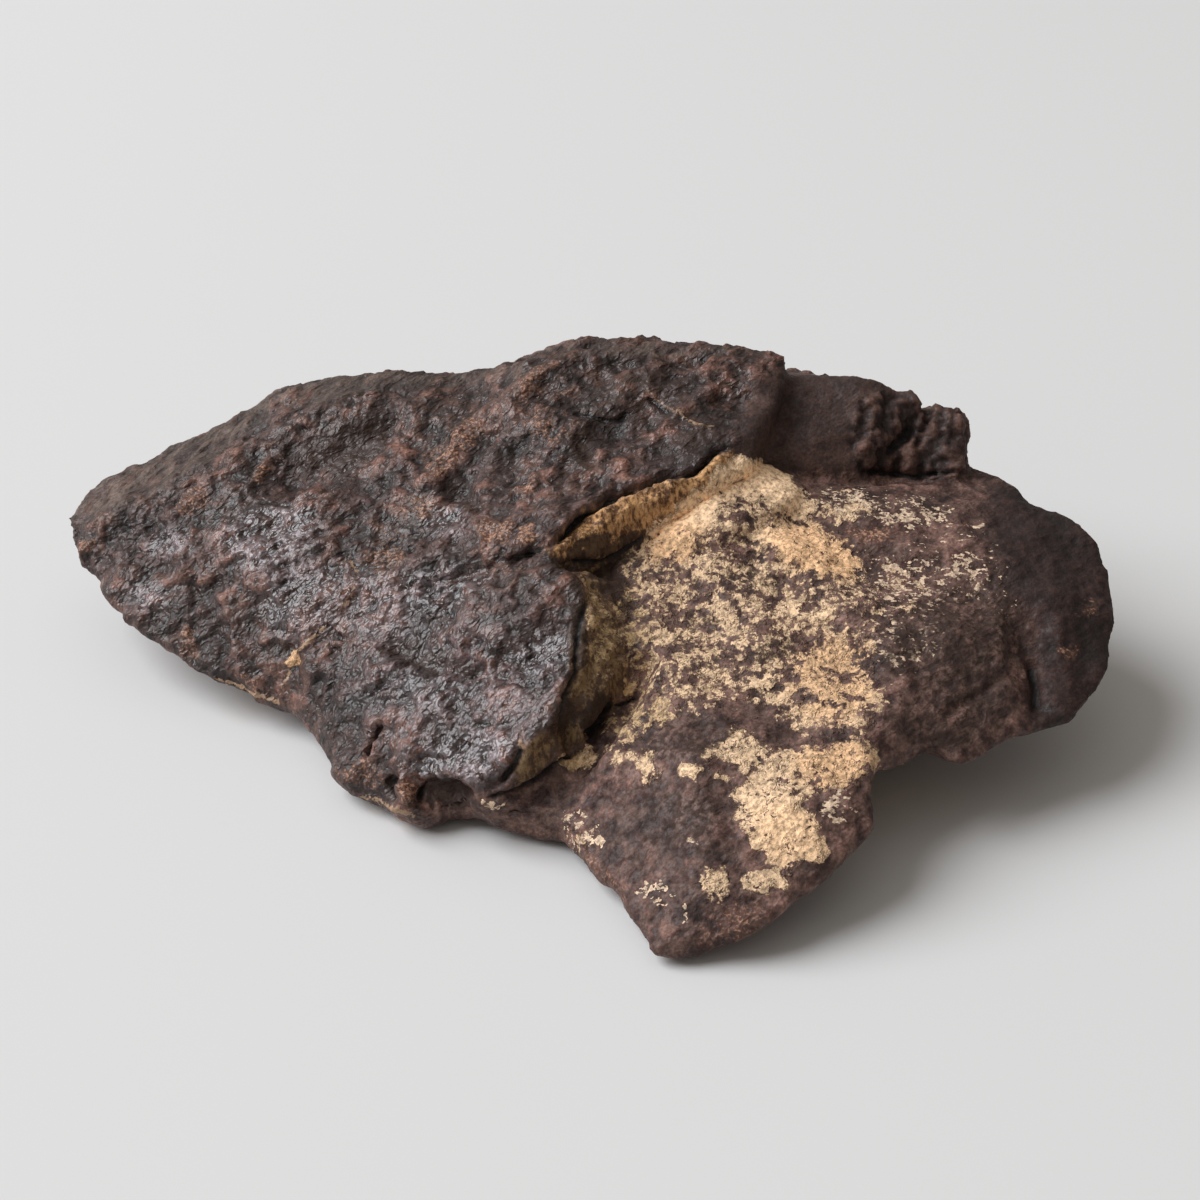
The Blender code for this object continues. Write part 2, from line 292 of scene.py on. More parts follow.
class Bench:
    """Lays out the nodes of one material."""

    def __init__(self, material: bpy.types.Material) -> None:
        """Empty the material and give it a shader.

        Args:
            material: The material to lay out.
        """
        material.use_nodes = True
        self.tree = material.node_tree
        self.tree.nodes.clear()
        self.shader = self.tree.nodes.new("ShaderNodeBsdfPrincipled")
        result = self.tree.nodes.new("ShaderNodeOutputMaterial")
        self.tree.links.new(self.shader.outputs["BSDF"], result.inputs["Surface"])

    def join(self, value: Value | Colour | float, socket: bpy.types.NodeSocket) -> None:
        """Link a value to a socket, or set a plain number or colour on it.

        Args:
            value: A value, a number or a colour.
            socket: The input that takes it.
        """
        if isinstance(value, Value):
            self.tree.links.new(value.socket, socket)
        elif isinstance(value, tuple):
            socket.default_value = (*value, 1.0)
        else:
            socket.default_value = value

    def feed(self, name: str, value: Value | Colour | float) -> None:
        """Give the shader's own socket of that name its value."""
        self.join(value, self.shader.inputs[name])

    def mark(self, mark: "Mark") -> Value:
        """Read one of the mesh's own marks.

        Args:
            mark: The mark, whose value names the attribute.

        Returns:
            Its share, from 0 to 1.
        """
        node = self.tree.nodes.new("ShaderNodeAttribute")
        node.attribute_name = mark.value
        return Value(self, node.outputs["Fac"])

    def place(self, stretch: tuple[float, float, float] = (1.0, 1.0, 1.0), turn: float = 0.0) -> Value:
        """Give the place on the stone in millimetres.

        Args:
            stretch: How much longer a pattern gets along each of its axes.
            turn: Degrees by which its axes are turned in plan.

        Returns:
            The place.
        """
        where = self.tree.nodes.new("ShaderNodeTexCoord")
        chart = self.tree.nodes.new("ShaderNodeMapping")
        chart.vector_type = "TEXTURE"
        chart.inputs["Scale"].default_value = tuple(size * MM for size in stretch)
        chart.inputs["Rotation"].default_value = (0.0, 0.0, math.radians(turn))
        self.tree.links.new(where.outputs["Object"], chart.inputs["Vector"])
        return Value(self, chart.outputs["Vector"])

    def cloud(self, where: Value, per_mm: float, layers: float, rough: float,
              output: str = "Fac") -> Value:
        """Add a noise pattern.

        Args:
            where: The place.
            per_mm: Its fineness, in spots for each millimetre.
            layers: How many finer layers it has.
            rough: How strong those layers are.
            output: The output to read.

        Returns:
            The pattern, from 0 to 1.
        """
        node = self.tree.nodes.new("ShaderNodeTexNoise")
        self.join(where, node.inputs["Vector"])
        node.inputs["Scale"].default_value = per_mm
        node.inputs["Detail"].default_value = layers
        node.inputs["Roughness"].default_value = rough
        return Value(self, node.outputs[output])

    def cells(self, where: Value, per_mm: float) -> Value:
        """Add a pattern of cells.

        Args:
            where: The place.
            per_mm: Its fineness, in cells for each millimetre.

        Returns:
            The distance from the nearest cell's middle, in cells.
        """
        node = self.tree.nodes.new("ShaderNodeTexVoronoi")
        self.join(where, node.inputs["Vector"])
        node.inputs["Scale"].default_value = per_mm
        return Value(self, node.outputs["Distance"])

    def bend(self, where: Value, warp: Value, reach: float) -> Value:
        """Bend a pattern's places by a colour noise.

        Args:
            where: The place.
            warp: The noise's colour.
            reach: How far it bends them, in millimetres.

        Returns:
            The bent place.
        """
        node = self.tree.nodes.new("ShaderNodeVectorMath")
        node.operation = "MULTIPLY_ADD"
        self.join(warp, node.inputs[0])
        node.inputs[1].default_value = (reach * 2.0,) * 3
        self.join(where, node.inputs[2])
        return Value(self, node.outputs["Vector"])

    def sums(self, operation: str, *values: Value | float) -> Value:
        """Do one piece of arithmetic.

        Args:
            operation: The Math node's operation.
            values: What it works on.

        Returns:
            The result.
        """
        node = self.tree.nodes.new("ShaderNodeMath")
        node.operation = operation
        for value, socket in zip(values, node.inputs):
            self.join(value, socket)
        return Value(self, node.outputs[0])

    def largest(self, first: Value, *others: Value) -> Value:
        """Take the largest of several values.

        Args:
            first: One value.
            others: The other values.

        Returns:
            The largest of them at each spot.
        """
        for other in others:
            first = self.sums("MAXIMUM", first, other)
        return first

    def blend(self, share: Value | float, below: Value | Colour, above: Value | Colour,
              mode: str = "MIX") -> Value:
        """Lay one colour over another.

        Args:
            share: How much of the upper colour shows.
            below: The lower colour.
            above: The upper colour.
            mode: How the two are blended.

        Returns:
            The blended colour.
        """
        node = self.tree.nodes.new("ShaderNodeMix")
        node.data_type = "RGBA"
        node.blend_type = mode
        self.join(share, node.inputs[MIX_SHARE])
        self.join(below, node.inputs[MIX_BELOW])
        self.join(above, node.inputs[MIX_ABOVE])
        return Value(self, node.outputs[MIX_RESULT])

    def shade(self, colour: Value | Colour, tone: Value) -> Value:
        """Darken or lighten a colour by a tone, which leaves it alone at 1."""
        return self.blend(1.0, colour, tone, "MULTIPLY")

    def lift(self, height: Value, depth: float) -> Value:
        """Add fine relief to the light on the surface.

        Args:
            height: The relief's pattern.
            depth: Its full height in millimetres.

        Returns:
            The new normal.
        """
        node = self.tree.nodes.new("ShaderNodeBump")
        node.inputs["Strength"].default_value = 1.0
        node.inputs["Distance"].default_value = depth * MM
        self.join(height, node.inputs["Height"])
        return Value(self, node.outputs["Normal"])


# The stone's marks


class Mark(Enum):
    """What a spot of the surface carries. Each is an attribute of the mesh, from 0 to 1."""

    PLATE = "plate"
    WALL = "wall"
    SLOPE = "slope"
    BACK = "back"
    BROKEN_END = "broken_end"
    LOBE = "lobe"
    CRUST = "crust"
    WARM = "warm"
    FLECK = "fleck"
    OLIVE = "olive"
    RUST = "rust"
    # real gloss and coat, and a painted sheen of lighter grey in the colour
    SHEEN = "sheen"
    DUST = "dust"
    # painted shade along the cracks and undercuts
    SHADE = "shade"
    PALE = "pale"
    # height of the relief: lighter on raised spots, painted shade in hollows
    HEIGHT_SHADE = "height_shade"
    # dark brown stain, and painted shade in hollows, creases and along edges
    STAIN_AND_SHADE = "stain_and_shade"


GROUNDS = (Mark.PLATE, Mark.WALL, Mark.SLOPE, Mark.BACK, Mark.BROKEN_END, Mark.LOBE)
MATTE = (Mark.PLATE, Mark.DUST, Mark.BACK, Mark.BROKEN_END)


class Cut(Enum):
    """How a line is worked into the surface."""

    CREASE = "crease"
    # cut in, with painted shade laid along it
    SHADED_CRACK = "crack"
    RIDGE = "ridge"
    VEIN = "vein"
    RIM = "rim"


@dataclass(frozen=True)
class Region:
    """A part of the surface with a mark of its own. Its outline and soft edge are in pixels."""

    mark: Mark
    strength: float
    soft: float
    outline: tuple[Pixel, ...]


@dataclass(frozen=True)
class Patch:
    """An oval patch of a mark. Its middle and half sizes are in pixels, and it is turned by degrees."""

    strength: float
    middle: Pixel
    half: Pixel
    turn: float = 0.0


@dataclass(frozen=True)
class Line:
    """A crack, crease, ridge or vein along pixels. Its rise and half width are in millimetres."""

    cut: Cut
    rise: float
    half_width: float
    path: tuple[Pixel, ...]


@dataclass(frozen=True)
class Bank:
    """Crust banked up against the foot of a wall, in millimetres. The path is the bank's top."""

    slope: float
    reach: float
    path: tuple[tuple[float, float, float], ...]
    edge_drop: float = 3.0
    deepest: float = 2.4


REGIONS = {
    "lower plate": Region(Mark.PLATE, 1.0, 5.0, (
        (473, 797), (516, 764), (521, 737), (561, 729), (555, 705), (571, 673), (569, 651),
        (571, 625), (586, 587), (571, 566), (546, 546), (588, 503), (628, 493), (646, 478),
        (695, 470), (716, 450), (737, 448), (760, 470), (860, 474), (918, 480), (961, 473),
        (1010, 470), (1160, 520), (1160, 1000), (440, 1000), (440, 812))),
    "ochre wall": Region(Mark.WALL, 1.0, 4.0, (
        (549, 548), (588, 508), (628, 497), (646, 482), (695, 475), (716, 454), (737, 450),
        (740, 462), (722, 476), (695, 497), (657, 529), (622, 553), (575, 570))),
    "sloping wall": Region(Mark.SLOPE, 1.0, 7.0, (
        (566, 562), (606, 560), (612, 600), (628, 640), (626, 672), (618, 705), (590, 742),
        (560, 750), (520, 790), (514, 770), (524, 742), (561, 731), (557, 705), (573, 673),
        (571, 650), (573, 625), (588, 590))),
    "back face": Region(Mark.BACK, 1.0, 6.0, (
        (735, 456), (742, 420), (752, 384), (790, 366), (900, 374), (990, 400), (1000, 474),
        (918, 481), (859, 475), (760, 472))),
    "broken end": Region(Mark.BROKEN_END, 1.0, 6.0, (
        (857, 404), (880, 392), (930, 400), (968, 405), (972, 474), (918, 480), (858, 473),
        (850, 440))),
    "east lobe": Region(Mark.LOBE, 1.0, 22.0, (
        (985, 480), (1020, 470), (1090, 500), (1140, 620), (1110, 740), (1030, 740), (1032, 650),
        (1005, 590), (985, 540))),
    "speckled ground": Region(Mark.CRUST, 0.47, 16.0, (
        (620, 556), (655, 528), (740, 486), (806, 504), (864, 552), (884, 600), (884, 660),
        (874, 725), (860, 748), (800, 738), (770, 712), (720, 706), (690, 714), (664, 734),
        (640, 748), (604, 748), (606, 724), (626, 690), (622, 640), (618, 600))),
    "cream below the wall": Region(Mark.CRUST, 0.94, 6.0, (
        (733, 457), (750, 459), (772, 468), (800, 488), (822, 510), (806, 522), (782, 512),
        (760, 498), (734, 498), (712, 520), (700, 542), (688, 556), (656, 562), (640, 548),
        (660, 520), (690, 494), (714, 473))),
    "tan apron": Region(Mark.CRUST, 0.88, 7.0, (
        (744, 534), (768, 522), (796, 522), (824, 532), (852, 550), (866, 568), (846, 580),
        (812, 574), (792, 562), (762, 548))),
    "east speckle": Region(Mark.CRUST, 0.54, 14.0, (
        (806, 652), (826, 644), (852, 650), (880, 664), (888, 700), (878, 730), (840, 738),
        (804, 722), (796, 690))),
    "lower band": Region(Mark.CRUST, 0.68, 6.0, (
        (698, 768), (704, 748), (738, 730), (764, 744), (800, 748), (832, 744), (880, 740),
        (880, 762), (864, 784), (838, 792), (806, 796), (772, 802), (744, 790), (742, 772),
        (722, 762))),
    "largest cream": Region(Mark.CRUST, 0.86, 5.0, (
        (730, 794), (760, 788), (798, 798), (816, 824), (834, 846), (820, 862), (792, 868),
        (766, 858), (750, 840), (742, 816))),
    "east flecks": Region(Mark.FLECK, 0.26, 16.0, (
        (806, 484), (850, 480), (900, 488), (960, 500), (1000, 536), (1030, 580), (1020, 624),
        (950, 628), (890, 640), (866, 600), (858, 560), (872, 530), (820, 508))),
}

PATCHES = {
    Mark.CRUST: {
        # the two patches below the wall go above 1 only to lighten the cream: painted light where the
        # wall's shade falls
        "brightest cream": Patch(1.3, (768, 480), (36, 15), 30),
        "bright cream below the wall": Patch(1.1, (700, 512), (34, 12), -42),
        "oval blotch west": Patch(0.95, (793, 608), (15, 6)),
        "oval blotch east": Patch(0.95, (818, 616), (16, 6), -8),
        "white streak": Patch(1.0, (762, 682), (17, 5), -10),
        "streak's foot": Patch(0.7, (777, 697), (15, 9), 10),
        "middle tan patch": Patch(0.66, (820, 672), (20, 24), 10),
        "east tan patch": Patch(0.64, (858, 696), (20, 28), 12),
        "south tan speckle": Patch(0.58, (818, 716), (36, 16)),
        "lower band finger": Patch(0.78, (737, 738), (14, 11)),
        "lower band east": Patch(0.76, (845, 762), (32, 19)),
        "white spot": Patch(0.95, (690, 772), (11, 7), 20),
        "white spot's neighbour": Patch(0.7, (722, 778), (10, 7)),
        "neck": Patch(0.85, (746, 796), (18, 8)),
        "neck south": Patch(0.78, (744, 818), (10, 13), -20),
        "small grey tan": Patch(0.66, (715, 882), (15, 20), -12),
        "small cream": Patch(0.80, (766, 881), (28, 13), -8),
        "upper flaky cream": Patch(0.45, (838, 506), (50, 16), 4),
        "flaky cream east of the apron": Patch(0.31, (890, 590), (40, 40)),
        "largest cream's core": Patch(1.0, (786, 828), (24, 26), 30),
        "orange fleck on the vein": Patch(1.1, (297, 656), (4, 8), 25),
        "west yellow spots": Patch(0.72, (650, 770), (12, 20), -8),
        "nook spot": Patch(1.05, (578, 760), (20, 9), -14),
        "nook speckle": Patch(0.5, (618, 754), (24, 12)),
        "olive lump": Patch(0.8, (632, 686), (14, 11)),
        "olive speckle": Patch(0.52, (648, 712), (32, 17)),
        "slope speckle": Patch(0.42, (628, 630), (20, 55)),
        "slope strip": Patch(0.64, (600, 636), (13, 46), -14),
        "front corner flecks": Patch(0.30, (583, 838), (16, 18), 30),
    },
    Mark.FLECK: {
        "rim flecks": Patch(0.62, (838, 808), (16, 20), 20),
        "front rim flecks": Patch(0.62, (580, 828), (15, 26), -30),
        "flecks by the nook": Patch(0.90, (493, 806), (9, 6)),
        "front fleck west": Patch(1.0, (597, 841), (5, 7)),
        "front fleck middle": Patch(1.0, (693, 841), (6, 5)),
        "front streaks": Patch(0.60, (655, 893), (18, 14)),
        "front fleck south": Patch(0.90, (685, 914), (5, 10)),
        "upper flecks": Patch(0.50, (880, 505), (86, 17), 6),
        "upper flecks dense": Patch(0.70, (912, 517), (38, 9), -6),
        "middle flecks": Patch(0.46, (925, 584), (82, 32), 4),
        "middle flecks dense west": Patch(0.60, (890, 582), (18, 24)),
        "middle flecks dense east": Patch(0.64, (968, 566), (24, 15), 10),
        "lower flecks": Patch(0.45, (905, 640), (44, 34)),
        "lone white speck": Patch(1.0, (975, 527), (6, 3), 10),
    },
    Mark.WARM: {
        "orange fleck's warmth": Patch(1.0, (297, 656), (8, 12), 25),
        "wall foot": Patch(0.8, (676, 545), (34, 18), -25),
        "apron": Patch(1.0, (818, 552), (56, 26), 20),
        "middle": Patch(0.8, (832, 680), (48, 48)),
        "lower band": Patch(0.9, (838, 764), (44, 30)),
        "largest": Patch(0.45, (795, 838), (44, 34), 30),
    },
    Mark.OLIVE: {
        "west": Patch(0.9, (608, 650), (40, 84)),
        "south": Patch(0.6, (640, 715), (40, 30)),
        "recess": Patch(0.8, (550, 762), (36, 26), -25),
        "corner": Patch(0.7, (500, 806), (26, 10), 10),
    },
    Mark.RUST: {
        "below the brow": Patch(0.75, (260, 471), (10, 13)),
        "brow west": Patch(0.6, (192, 500), (20, 15), -30),
        "left rim": Patch(0.75, (188, 642), (12, 24), -10),
        "left rim east": Patch(0.55, (248, 684), (24, 14), 25),
        "left tip": Patch(0.7, (86, 547), (9, 12)),
        "ridge": Patch(0.62, (452, 446), (48, 22), -42),
        "ridge foot": Patch(0.45, (400, 530), (60, 24), -48),
        "slab south": Patch(0.30, (330, 620), (60, 40), 30),
        "crest field": Patch(0.42, (570, 400), (70, 50)),
        "ridge south": Patch(0.85, (420, 504), (13, 12)),
        "middle": Patch(0.72, (388, 556), (22, 18), -20),
        "crest": Patch(0.6, (531, 380), (12, 20), 30),
        "crest south": Patch(0.66, (548, 432), (22, 13)),
        "below the crest": Patch(0.66, (526, 488), (15, 10)),
        "pink": Patch(0.75, (496, 531), (20, 13)),
        "orange at the corner": Patch(1.0, (528, 535), (10, 10), 30),
        "at the fold": Patch(0.5, (480, 566), (24, 10), -10),
        "on the back face": Patch(0.35, (884, 402), (14, 8), 20),
        "below the upper flecks": Patch(0.75, (868, 534), (28, 10), -5),
        "right of the centre": Patch(0.4, (800, 645), (30, 12), -20),
        "red rim": Patch(0.52, (732, 924), (44, 22), -12),
        "red front rim": Patch(0.5, (560, 832), (60, 10), 24),
        "red front rim south": Patch(0.45, (608, 880), (12, 40), -35),
        "lobe pink": Patch(0.5, (1090, 608), (16, 11)),
        "lobe pink south": Patch(0.5, (1070, 652), (16, 9)),
        "nook lump's skin": Patch(1.0, (407, 793), (8, 11), -15),
        "by the nook": Patch(0.55, (364, 772), (26, 16), 20),
    },
    # Dark brown stains on the walls, the slope and the speckle; the other patches are painted shade in
    # the valley, fold, hollows, nook and cleft, along the slab's edge, above the recess and over the
    # crest, plain, heel and east side.
    Mark.STAIN_AND_SHADE: {
        "at the wall's end": Patch(0.85, (590, 550), (30, 14), -25),
        "on the wall's foot": Patch(0.75, (626, 546), (30, 9), -32),
        "below the wall": Patch(0.8, (612, 566), (34, 7), -20),
        "at the edge": Patch(0.9, (578, 620), (9, 52), -3),
        "on the slope": Patch(0.85, (612, 586), (18, 17)),
        "on the slope east": Patch(0.7, (632, 606), (14, 10)),
        "at the cleft": Patch(0.9, (596, 716), (16, 26), 30),
        "plain front": Patch(0.54, (678, 820), (48, 34)),
        "crest": Patch(0.48, (640, 398), (64, 34)),
        "above the recess": Patch(0.7, (565, 712), (14, 24), 10),
        "on the speckle": Patch(0.5, (760, 575), (26, 14), 30),
        "on the speckle west": Patch(0.45, (700, 620), (30, 16), 10),
        "on the speckle south": Patch(0.5, (775, 650), (34, 14), -15),
        "in the nook": Patch(1.0, (446, 793), (28, 15), 6),
        "west in the nook": Patch(1.0, (391, 788), (8, 14), -10),
        "east side": Patch(0.50, (950, 640), (90, 60), -10),
        "plain middle": Patch(0.50, (690, 740), (60, 24), -10),
        "valley": Patch(0.85, (345, 445), (58, 28), -22),
        "fold": Patch(0.55, (432, 658), (62, 13), 16),
        "crest hollow": Patch(0.7, (584, 452), (13, 30), -12),
        "brown hollow": Patch(0.45, (464, 494), (24, 15), 30),
        "crest's east side": Patch(0.5, (690, 440), (40, 14), -28),
        "heel": Patch(0.5, (960, 720), (60, 30), -20),
    },
    Mark.PLATE: {
        "nook's red brown": Patch(1.0, (440, 793), (36, 17), 6),
    },
    # Real gloss, and painted sheen: a lighter grey laid into the slab's colour.
    Mark.SHEEN: {
        "west": Patch(1.0, (268, 536), (50, 34), -15),
        "west foot": Patch(0.8, (300, 600), (40, 40)),
        "tip": Patch(0.8, (170, 545), (24, 14), -10),
        "left rim": Patch(0.8, (146, 594), (18, 16), 20),
        "centre": Patch(0.95, (446, 520), (24, 18), 20),
        "shoulder": Patch(0.8, (430, 590), (60, 22), -14),
        "shoulder edge": Patch(1.0, (540, 652), (30, 22), -20),
        "shoulder foot": Patch(1.0, (462, 758), (62, 30), -18),
        "middle": Patch(0.60, (370, 600), (64, 40)),
        "shoulder wide": Patch(0.50, (450, 690), (120, 80), 20),
        "shoulder middle": Patch(0.85, (430, 690), (60, 18), 10),
    },
    Mark.DUST: {
        "band": Patch(1.0, (180, 450), (130, 24), -31),
        "brow": Patch(1.0, (330, 390), (34, 16), -12),
        "behind the crest": Patch(0.9, (420, 378), (110, 10), -3),
        "top": Patch(0.7, (640, 350), (110, 8)),
    },
}

LINES = {
    "undercut west": Line(Cut.SHADED_CRACK, -0.75, 0.42, ((553, 547), (587, 512), (612, 498), (641, 486))),
    "undercut east": Line(Cut.SHADED_CRACK, -0.70, 0.40, (
        (636, 488), (665, 474), (695, 472), (716, 450), (728, 448))),
    "wall foot crack": Line(Cut.SHADED_CRACK, -0.30, 0.28, (
        (566, 562), (600, 562), (622, 552), (648, 535))),
    "crest edge": Line(Cut.RIDGE, 0.14, 0.50, (
        (552, 538), (587, 502), (630, 485), (680, 462), (706, 444))),
    "corner crease": Line(Cut.CREASE, -0.30, 0.40, (
        (546, 548), (518, 558), (470, 572), (425, 586), (396, 598))),
    "corner crack": Line(Cut.SHADED_CRACK, -0.22, 0.22, ((544, 548), (530, 551), (512, 559))),
    "fold": Line(Cut.CREASE, -0.35, 0.75, ((382, 640), (430, 664), (467, 674), (494, 669))),
    "short crack": Line(Cut.SHADED_CRACK, -0.30, 0.20, ((341, 563), (341, 587))),
    "short crack east": Line(Cut.SHADED_CRACK, -0.30, 0.22, ((398, 592), (419, 579))),
    "slit": Line(Cut.SHADED_CRACK, -0.70, 0.30, ((380, 724), (374, 738), (366, 757))),
    "cleft": Line(Cut.SHADED_CRACK, -1.10, 0.60, ((614, 702), (602, 722), (588, 744))),
    "cleft's thin crack": Line(Cut.SHADED_CRACK, -0.25, 0.18, ((612, 708), (626, 703), (638, 696))),
    "recess crack": Line(Cut.SHADED_CRACK, -0.50, 0.26, (
        (481, 799), (510, 794), (534, 783), (561, 762), (584, 747))),
    "recess shadow": Line(Cut.SHADED_CRACK, -0.50, 0.40, ((520, 744), (516, 765), (498, 784))),
    "edge undercut": Line(Cut.SHADED_CRACK, -0.45, 0.34, (
        (592, 592), (578, 625), (576, 650), (578, 673), (564, 700), (562, 726))),
    "slope ridge": Line(Cut.VEIN, 0.12, 0.22, ((574, 568), (583, 583), (593, 598), (604, 619))),
    "chip edge": Line(Cut.RIM, 0.10, 0.22, ((521, 738), (519, 748), (513, 760))),
    "crest line": Line(Cut.VEIN, 0.10, 0.18, (
        (641, 386), (655, 399), (668, 408), (695, 422), (722, 426))),
    "crest line's shadow": Line(Cut.SHADED_CRACK, -0.22, 0.25, ((646, 396), (662, 408), (672, 412))),
    "crest pit": Line(Cut.SHADED_CRACK, -0.30, 0.30, (
        (570, 410), (588, 412), (604, 420), (620, 420), (633, 410))),
    "crest hollow": Line(Cut.CREASE, -0.30, 0.80, ((574, 428), (584, 446), (592, 470))),
    "brown hollow": Line(Cut.CREASE, -0.25, 0.90, ((450, 486), (466, 496), (482, 508))),
    "west valley": Line(Cut.CREASE, -0.30, 1.50, ((310, 470), (350, 445), (400, 430))),
    "west hollow": Line(Cut.CREASE, -0.25, 0.70, ((266, 448), (280, 470), (300, 488))),
    "sheen crease": Line(Cut.CREASE, -0.18, 0.25, ((240, 540), (262, 530), (282, 513))),
    "tan vein top": Line(Cut.VEIN, 0.05, 0.16, ((349, 561), (357, 572))),
    "tan vein upper": Line(Cut.VEIN, 0.05, 0.16, ((357, 584), (352, 596), (344, 609))),
    "tan vein middle": Line(Cut.VEIN, 0.08, 0.22, ((331, 621), (318, 634), (303, 650), (293, 664))),
    "tan vein foot": Line(Cut.VEIN, 0.05, 0.18, ((292, 668), (286, 680), (280, 695))),
    "left rim line": Line(Cut.VEIN, 0.05, 0.25, ((206, 678), (240, 688), (264, 697), (284, 706))),
    "nook rim line": Line(Cut.VEIN, 0.06, 0.25, ((358, 795), (387, 804), (416, 814))),
    "nook": Line(Cut.CREASE, -1.00, 1.20, ((398, 786), (420, 790), (446, 792), (466, 794))),
    "nook shadow": Line(Cut.SHADED_CRACK, -0.60, 0.50, ((390, 776), (391, 786), (395, 800))),
    "nook shadow east": Line(Cut.SHADED_CRACK, -0.30, 0.40, ((419, 784), (421, 794), (420, 804))),
    "nook pit": Line(Cut.SHADED_CRACK, -0.45, 0.45, ((448, 790), (458, 792), (470, 794))),
    "nook lump": Line(Cut.RIDGE, 1.35, 0.75, ((403, 785), (407, 793), (411, 801))),
    "stub joint": Line(Cut.CREASE, -0.30, 0.35, ((927, 408), (924, 430), (916, 452))),
    "end hollow": Line(Cut.SHADED_CRACK, -0.45, 0.60, ((884, 456), (902, 440), (914, 424))),
    "end base line": Line(Cut.SHADED_CRACK, -0.35, 0.28, (
        (859, 471), (888, 474), (918, 477), (940, 473), (962, 471))),
    "lobe groove": Line(Cut.CREASE, -0.45, 0.75, ((1031, 655), (1037, 685), (1036, 716))),
    "lobe groove shade": Line(Cut.SHADED_CRACK, -0.20, 0.45, ((1032, 662), (1037, 688), (1037, 708))),
    "heel crease": Line(Cut.CREASE, -0.25, 0.50, ((1010, 672), (985, 690), (968, 700), (940, 716))),
    "blotch arc": Line(Cut.RIM, 0.05, 0.16, ((784, 620), (806, 625), (826, 622), (836, 612))),
    "arc ridge": Line(Cut.RIDGE, 0.15, 0.50, ((800, 648), (820, 640), (834, 640))),
}

BANKS = {
    "bank below the ochre wall": Bank(0.42, 4.2, (
        (5.2, 1.65, 11.9), (8.1, 3.3, 13.6), (9.2, 3.85, 14.1), (9.9, 4.6, 14.3), (11.2, 5.7, 14.3),
        (11.7, 6.8, 14.1), (11.9, 7.7, 13.75), (12.9, 7.9, 12.95), (13.6, 7.9, 12.6))),
}


# Working the surface


def soft_step(low: float, high: float, values: np.ndarray) -> np.ndarray:
    """Go smoothly from 0 to 1 between two values.

    Args:
        low: Where it is 0.
        high: Where it is 1.
        values: The values to read.

    Returns:
        One share for each value.
    """
    share = np.clip((values - low) / (high - low), 0.0, 1.0)
    return share * share * (3.0 - 2.0 * share)


def clouds(points: np.ndarray, size: float, seed: float, layers: int = 3) -> np.ndarray:
    """Give smooth noise at points.

    Args:
        points: Places in millimetres.
        size: The size of its spots in millimetres.
        seed: An offset that tells one pattern from another.
        layers: How many finer layers it has.

    Returns:
        Values from about -1 to 1.
    """
    places = (points / size + (seed, seed * 0.7, -seed)).tolist()
    return np.array([noise.fractal(place, 0.9, 2.1, layers) for place in places])


def bumps(points: np.ndarray, size: float, seed: float) -> np.ndarray:
    """Give rounded bumps with creases between them.

    Args:
        points: Places in millimetres.
        size: The size of a bump in millimetres.
        seed: An offset that tells one pattern from another.

    Returns:
        Values from -1 in a crease to 1 on a bump.
    """
    places = (points / size + (seed, -seed, seed * 0.3)).tolist()
    nearest = [noise.voronoi(place)[0] for place in places]
    gaps = np.array([near[1] - near[0] for near in nearest])
    return soft_step(0.0, 0.42, gaps) * 2.0 - 1.0


def folds(points: np.ndarray, size: float, seed: float) -> np.ndarray:
    """Give thin wrinkles.

    Args:
        points: Places in millimetres.
        size: The distance between wrinkles in millimetres.
        seed: An offset that tells one pattern from another.

    Returns:
        Values from -1 beside a wrinkle to 1 on its crest.
    """
    return 1.0 - 2.0 * np.minimum(np.abs(clouds(points, size, seed, 2)) * 2.2, 1.0)


def count_triangles(mesh: bpy.types.Mesh) -> int:
    """Count the triangles that a mesh's faces come to."""
    return sum(len(face.vertices) - 2 for face in mesh.polygons)


